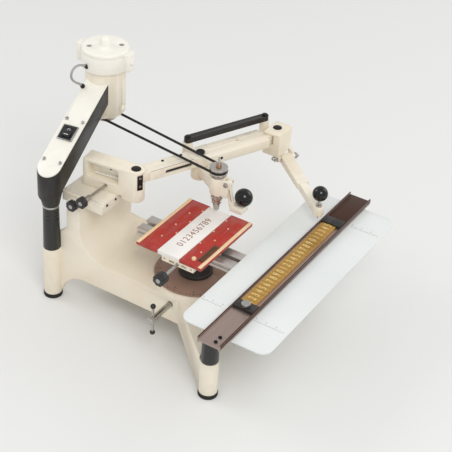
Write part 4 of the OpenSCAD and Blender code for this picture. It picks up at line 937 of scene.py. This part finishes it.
vice = {"middle": layout["turntable"][0] + 1, "jawInner": 24.0, "jawWidth": 47.0,
        "strip": (178.0, 7.0, 0.5), "stripRise": 0.2, "stripEdge": 0.12,
        "pegs": ((-46, 20), (0, 20), (46, 20), (-23, 3), (23, 3), (66, 3)), "pegBack": 0.5,
        "peg": [(0, -0.5), (1.75, -0.5), (1.7, 0.3), (1.2, 0.8), (0, 0.9)],
        "digits": "0123456789", "digitSize": 19.0, "digitsX": layout["turntable"][0] - 1,
        "digitsLevel": 205.0, "digitRaise": 0.16, "digitSpacing": 1.12,
        "thumbAt": (24, -308.5), "thumb": (8.5, 4.5), "thumbStem": (4.5, 2.0), "thumbStemRise": 4.3,
        "thumbEdge": 0.5}


def makeViceDetails():
    middle, workY, top = vice["middle"], layout["workY"], layout["jawTop"]
    width = vice["strip"][1]
    for side, body, slot in ((1, "rear_jaw", "jaw_back"), (-1, "front_jaw", "jaw_front")):
        outer = workY + side * (vice["jawInner"] + vice["jawWidth"] - width / 2)
        strip = boxPiece("outerStrip." + slot, vice["strip"],
                         placed(worldFrame, middle, outer, top + vice["stripRise"]), vice["stripEdge"])
        fit(strip, body, "creamStrip")
        pegs = [turnedPiece("peg", vice["peg"],
                            placed(worldFrame, middle + x,
                                   workY + side * (vice["jawInner"] + offset - vice["pegBack"]), top), 20)
                for x, offset in vice["pegs"]]
        fit(joined("pegs." + slot, pegs), body, "creamStrip")
    words = lettering("workDigits", vice["digits"], vice["digitSize"],
                      placed(worldFrame, vice["digitsX"], workY, vice["digitsLevel"]),
                      vice["digitRaise"], vice["digitSpacing"])
    fit(words, "vice", "inkBrown")
    edge = vice["thumbEdge"]
    knurl = discPiece("thumb", *vice["thumb"], placed(worldFrame, *vice["thumbAt"], top), edge, 24, 1)
    stem = discPiece("stem", *vice["thumbStem"],
                     placed(worldFrame, *vice["thumbAt"], top + vice["thumbStemRise"]), edge, 24)
    fit(joined("stopThumbScrew", [knurl, stem]), "front_jaw", "creamStrip")


makeViceDetails()
print("vice details made")


# ---- scales: the disc, the copy plate

discScale = {"outer": 77.6, "top": 118.0, "ticks": ((5, 2.6, 0.8), (10, 4.4, 0.8), (30, 6.0, 1.1)),
             "tickHeight": 0.1, "tickEdge": 0.03, "numberEvery": 30, "numberRadius": 67,
             "numberSize": 6.5, "numberRise": 0.03, "numberRaise": 0.1}
rulers = {"starts": ((-42, -369, 21), (-40, -477, 30), (314, -479, 29)),  # x, y, ticks
          "turn": -90, "ticks": {"step": 2.0, "size": (0.25, 2.0, 0.06), "longEvery": 5, "longSize": 3.6},
          "line": (0.3, 0.06), "lineEdge": 0.02, "numberEvery": 10, "numberShift": 7.0,
          "numberSize": 4.2, "numberRise": 0.02}


def makeDiscScale():
    x, y = layout["turntable"]
    outer, top = discScale["outer"], discScale["top"]
    pieces = []
    for every, length, width in discScale["ticks"]:
        tick = boxPiece("tick", (length, width, discScale["tickHeight"]),
                        placed(worldFrame, outer - length / 2, 0, top), discScale["tickEdge"], 1)
        only(tick)
        bpy.ops.object.mode_set(mode="EDIT")
        bpy.ops.mesh.select_all(action="SELECT")
        bpy.ops.mesh.spin(steps=360 // every, angle=2 * math.pi, center=(0, 0, 0), axis=(0, 0, 1),
                          dupli=True)
        bpy.ops.object.mode_set(mode="OBJECT")
        tick.matrix_world = placed(worldFrame, x, y, 0)
        pieces.append(settle(tick))
    for turn in range(0, 360, discScale["numberEvery"]):
        at = added((x, y), turnedPoint(discScale["numberRadius"], turn))
        place = placed(worldFrame, *at, top + discScale["numberRise"], rz=turn - 90)
        pieces.append(lettering("number", str(turn // 10), discScale["numberSize"], place,
                                discScale["numberRaise"]))
    fit(joined("discScale", pieces), "base", "inkBlack")


def makeRulers():
    top, turn, step = layout["plateTop"], rulers["turn"], rulers["ticks"]["step"]
    pieces = []
    for x, y, count in rulers["starts"]:
        pieces.append(tickRow("ruler", placed(worldFrame, x, y, top, rz=turn), count, **rulers["ticks"]))
        pieces.append(boxPiece("line", (step * count, *rulers["line"]),
                               placed(worldFrame, x, y - step * (count - 1) / 2, top, rz=turn),
                               rulers["lineEdge"], 1))
        for k in range(0, count, rulers["numberEvery"]):
            place = placed(worldFrame, x + rulers["numberShift"], y - step * k,
                           top + rulers["numberRise"], rz=turn)
            pieces.append(lettering("number", str(k // rulers["ticks"]["longEvery"]),
                                    rulers["numberSize"], place))
    fit(joined("plateRulers", pieces), "base", "inkBlack")


makeDiscScale()
makeRulers()
print("scales made")


# ---- type strip: separate brass types with plain digits

types = {"count": 25, "length": 302.0, "middle": (133.0, -448.0), "top": 196.0,
         "block": (11.4, 29.0, 2.9), "blockSink": 1.2, "blockEdge": 0.25,
         "figureSize": 21, "narrowing": 0.62, "figureRise": 0.26, "figureRaise": 0.08}


def makeTypes():
    middle, y = types["middle"]
    top = types["top"]
    pitch = types["length"] / types["count"]
    x0 = middle - types["length"] / 2 + pitch / 2
    blocks, figures = [], []
    for k in range(types["count"]):
        x = x0 + k * pitch
        blocks.append(boxPiece("type", types["block"], placed(worldFrame, x, y, top - types["blockSink"]),
                               types["blockEdge"], 1))
        place = (placed(worldFrame, x, y, top + types["figureRise"])
                 @ Matrix.Diagonal((types["narrowing"], 1, 1, 1)))
        figures.append(lettering("figure", str((k + 1) % 10), types["figureSize"], place,
                                 types["figureRaise"]))
    fit(joined("typeBlocks", blocks), "copy_slide", "typeBrass", ["type_strip"])
    fit(joined("typeFigures", figures), "copy_slide", "typeInk")


makeTypes()
print("types made")


# ---- floor, lamps and world

studio = {"floor": (232, 232, 230), "floorSize": 14, "floorAt": (0.3, -0.2, 0), "sky": 0.68,
          "aim": (0.15, -0.2, 0.2)}
lamps = {  # place and side in metres, watts
    "key": ((-1.6, -2.2, 2.9), 1.7, 50.0),
    "fill": ((2.6, -1.6, 1.8), 2.0, 16.0),
    "rim": ((-0.6, 2.4, 2.4), 1.6, 18.0),
}


def makeFloor():
    deselect()
    bpy.ops.mesh.primitive_plane_add(size=studio["floorSize"], location=studio["floorAt"])
    floor = bpy.context.object
    floor.name = "studioFloor"
    floor.data.materials.append(coatedMaterial("paper", studio["floor"], studio["floor"], (0.8, 0.9),
                                               patch=2, grain=300, bump=0.02))


def makeLamps():
    for name, (at, size, energy) in lamps.items():
        data = bpy.data.lights.new(name, "AREA")
        data.shape = "SQUARE"
        data.size = size
        data.energy = energy
        lamp = bpy.data.objects.new(name, data)
        lamp.location = at
        towards = Vector(studio["aim"]) - Vector(at)
        lamp.rotation_euler = towards.to_track_quat("-Z", "Y").to_euler()
        bpy.context.scene.collection.objects.link(lamp)


def makeWorld():
    # white behind the floor, and a dimmer white that lights the object
    world = bpy.data.worlds.new("studio")
    bpy.context.scene.world = world
    world.use_nodes = True
    tree = world.node_tree
    path = addNode(tree, "ShaderNodeLightPath")
    seen = calculated(tree, "ShaderNodeMath", "MAXIMUM", path["Is Camera Ray"],
                      path["Is Transmission Ray"])["Value"]
    plug(tree, tree.nodes["Background"], {"Color": (1, 1, 1, 1),
                                          "Strength": spread(tree, seen, studio["sky"], 1.0)})
    bpy.context.scene.view_settings.view_transform = "Standard"


makeFloor()
makeLamps()
makeWorld()
print("studio set")
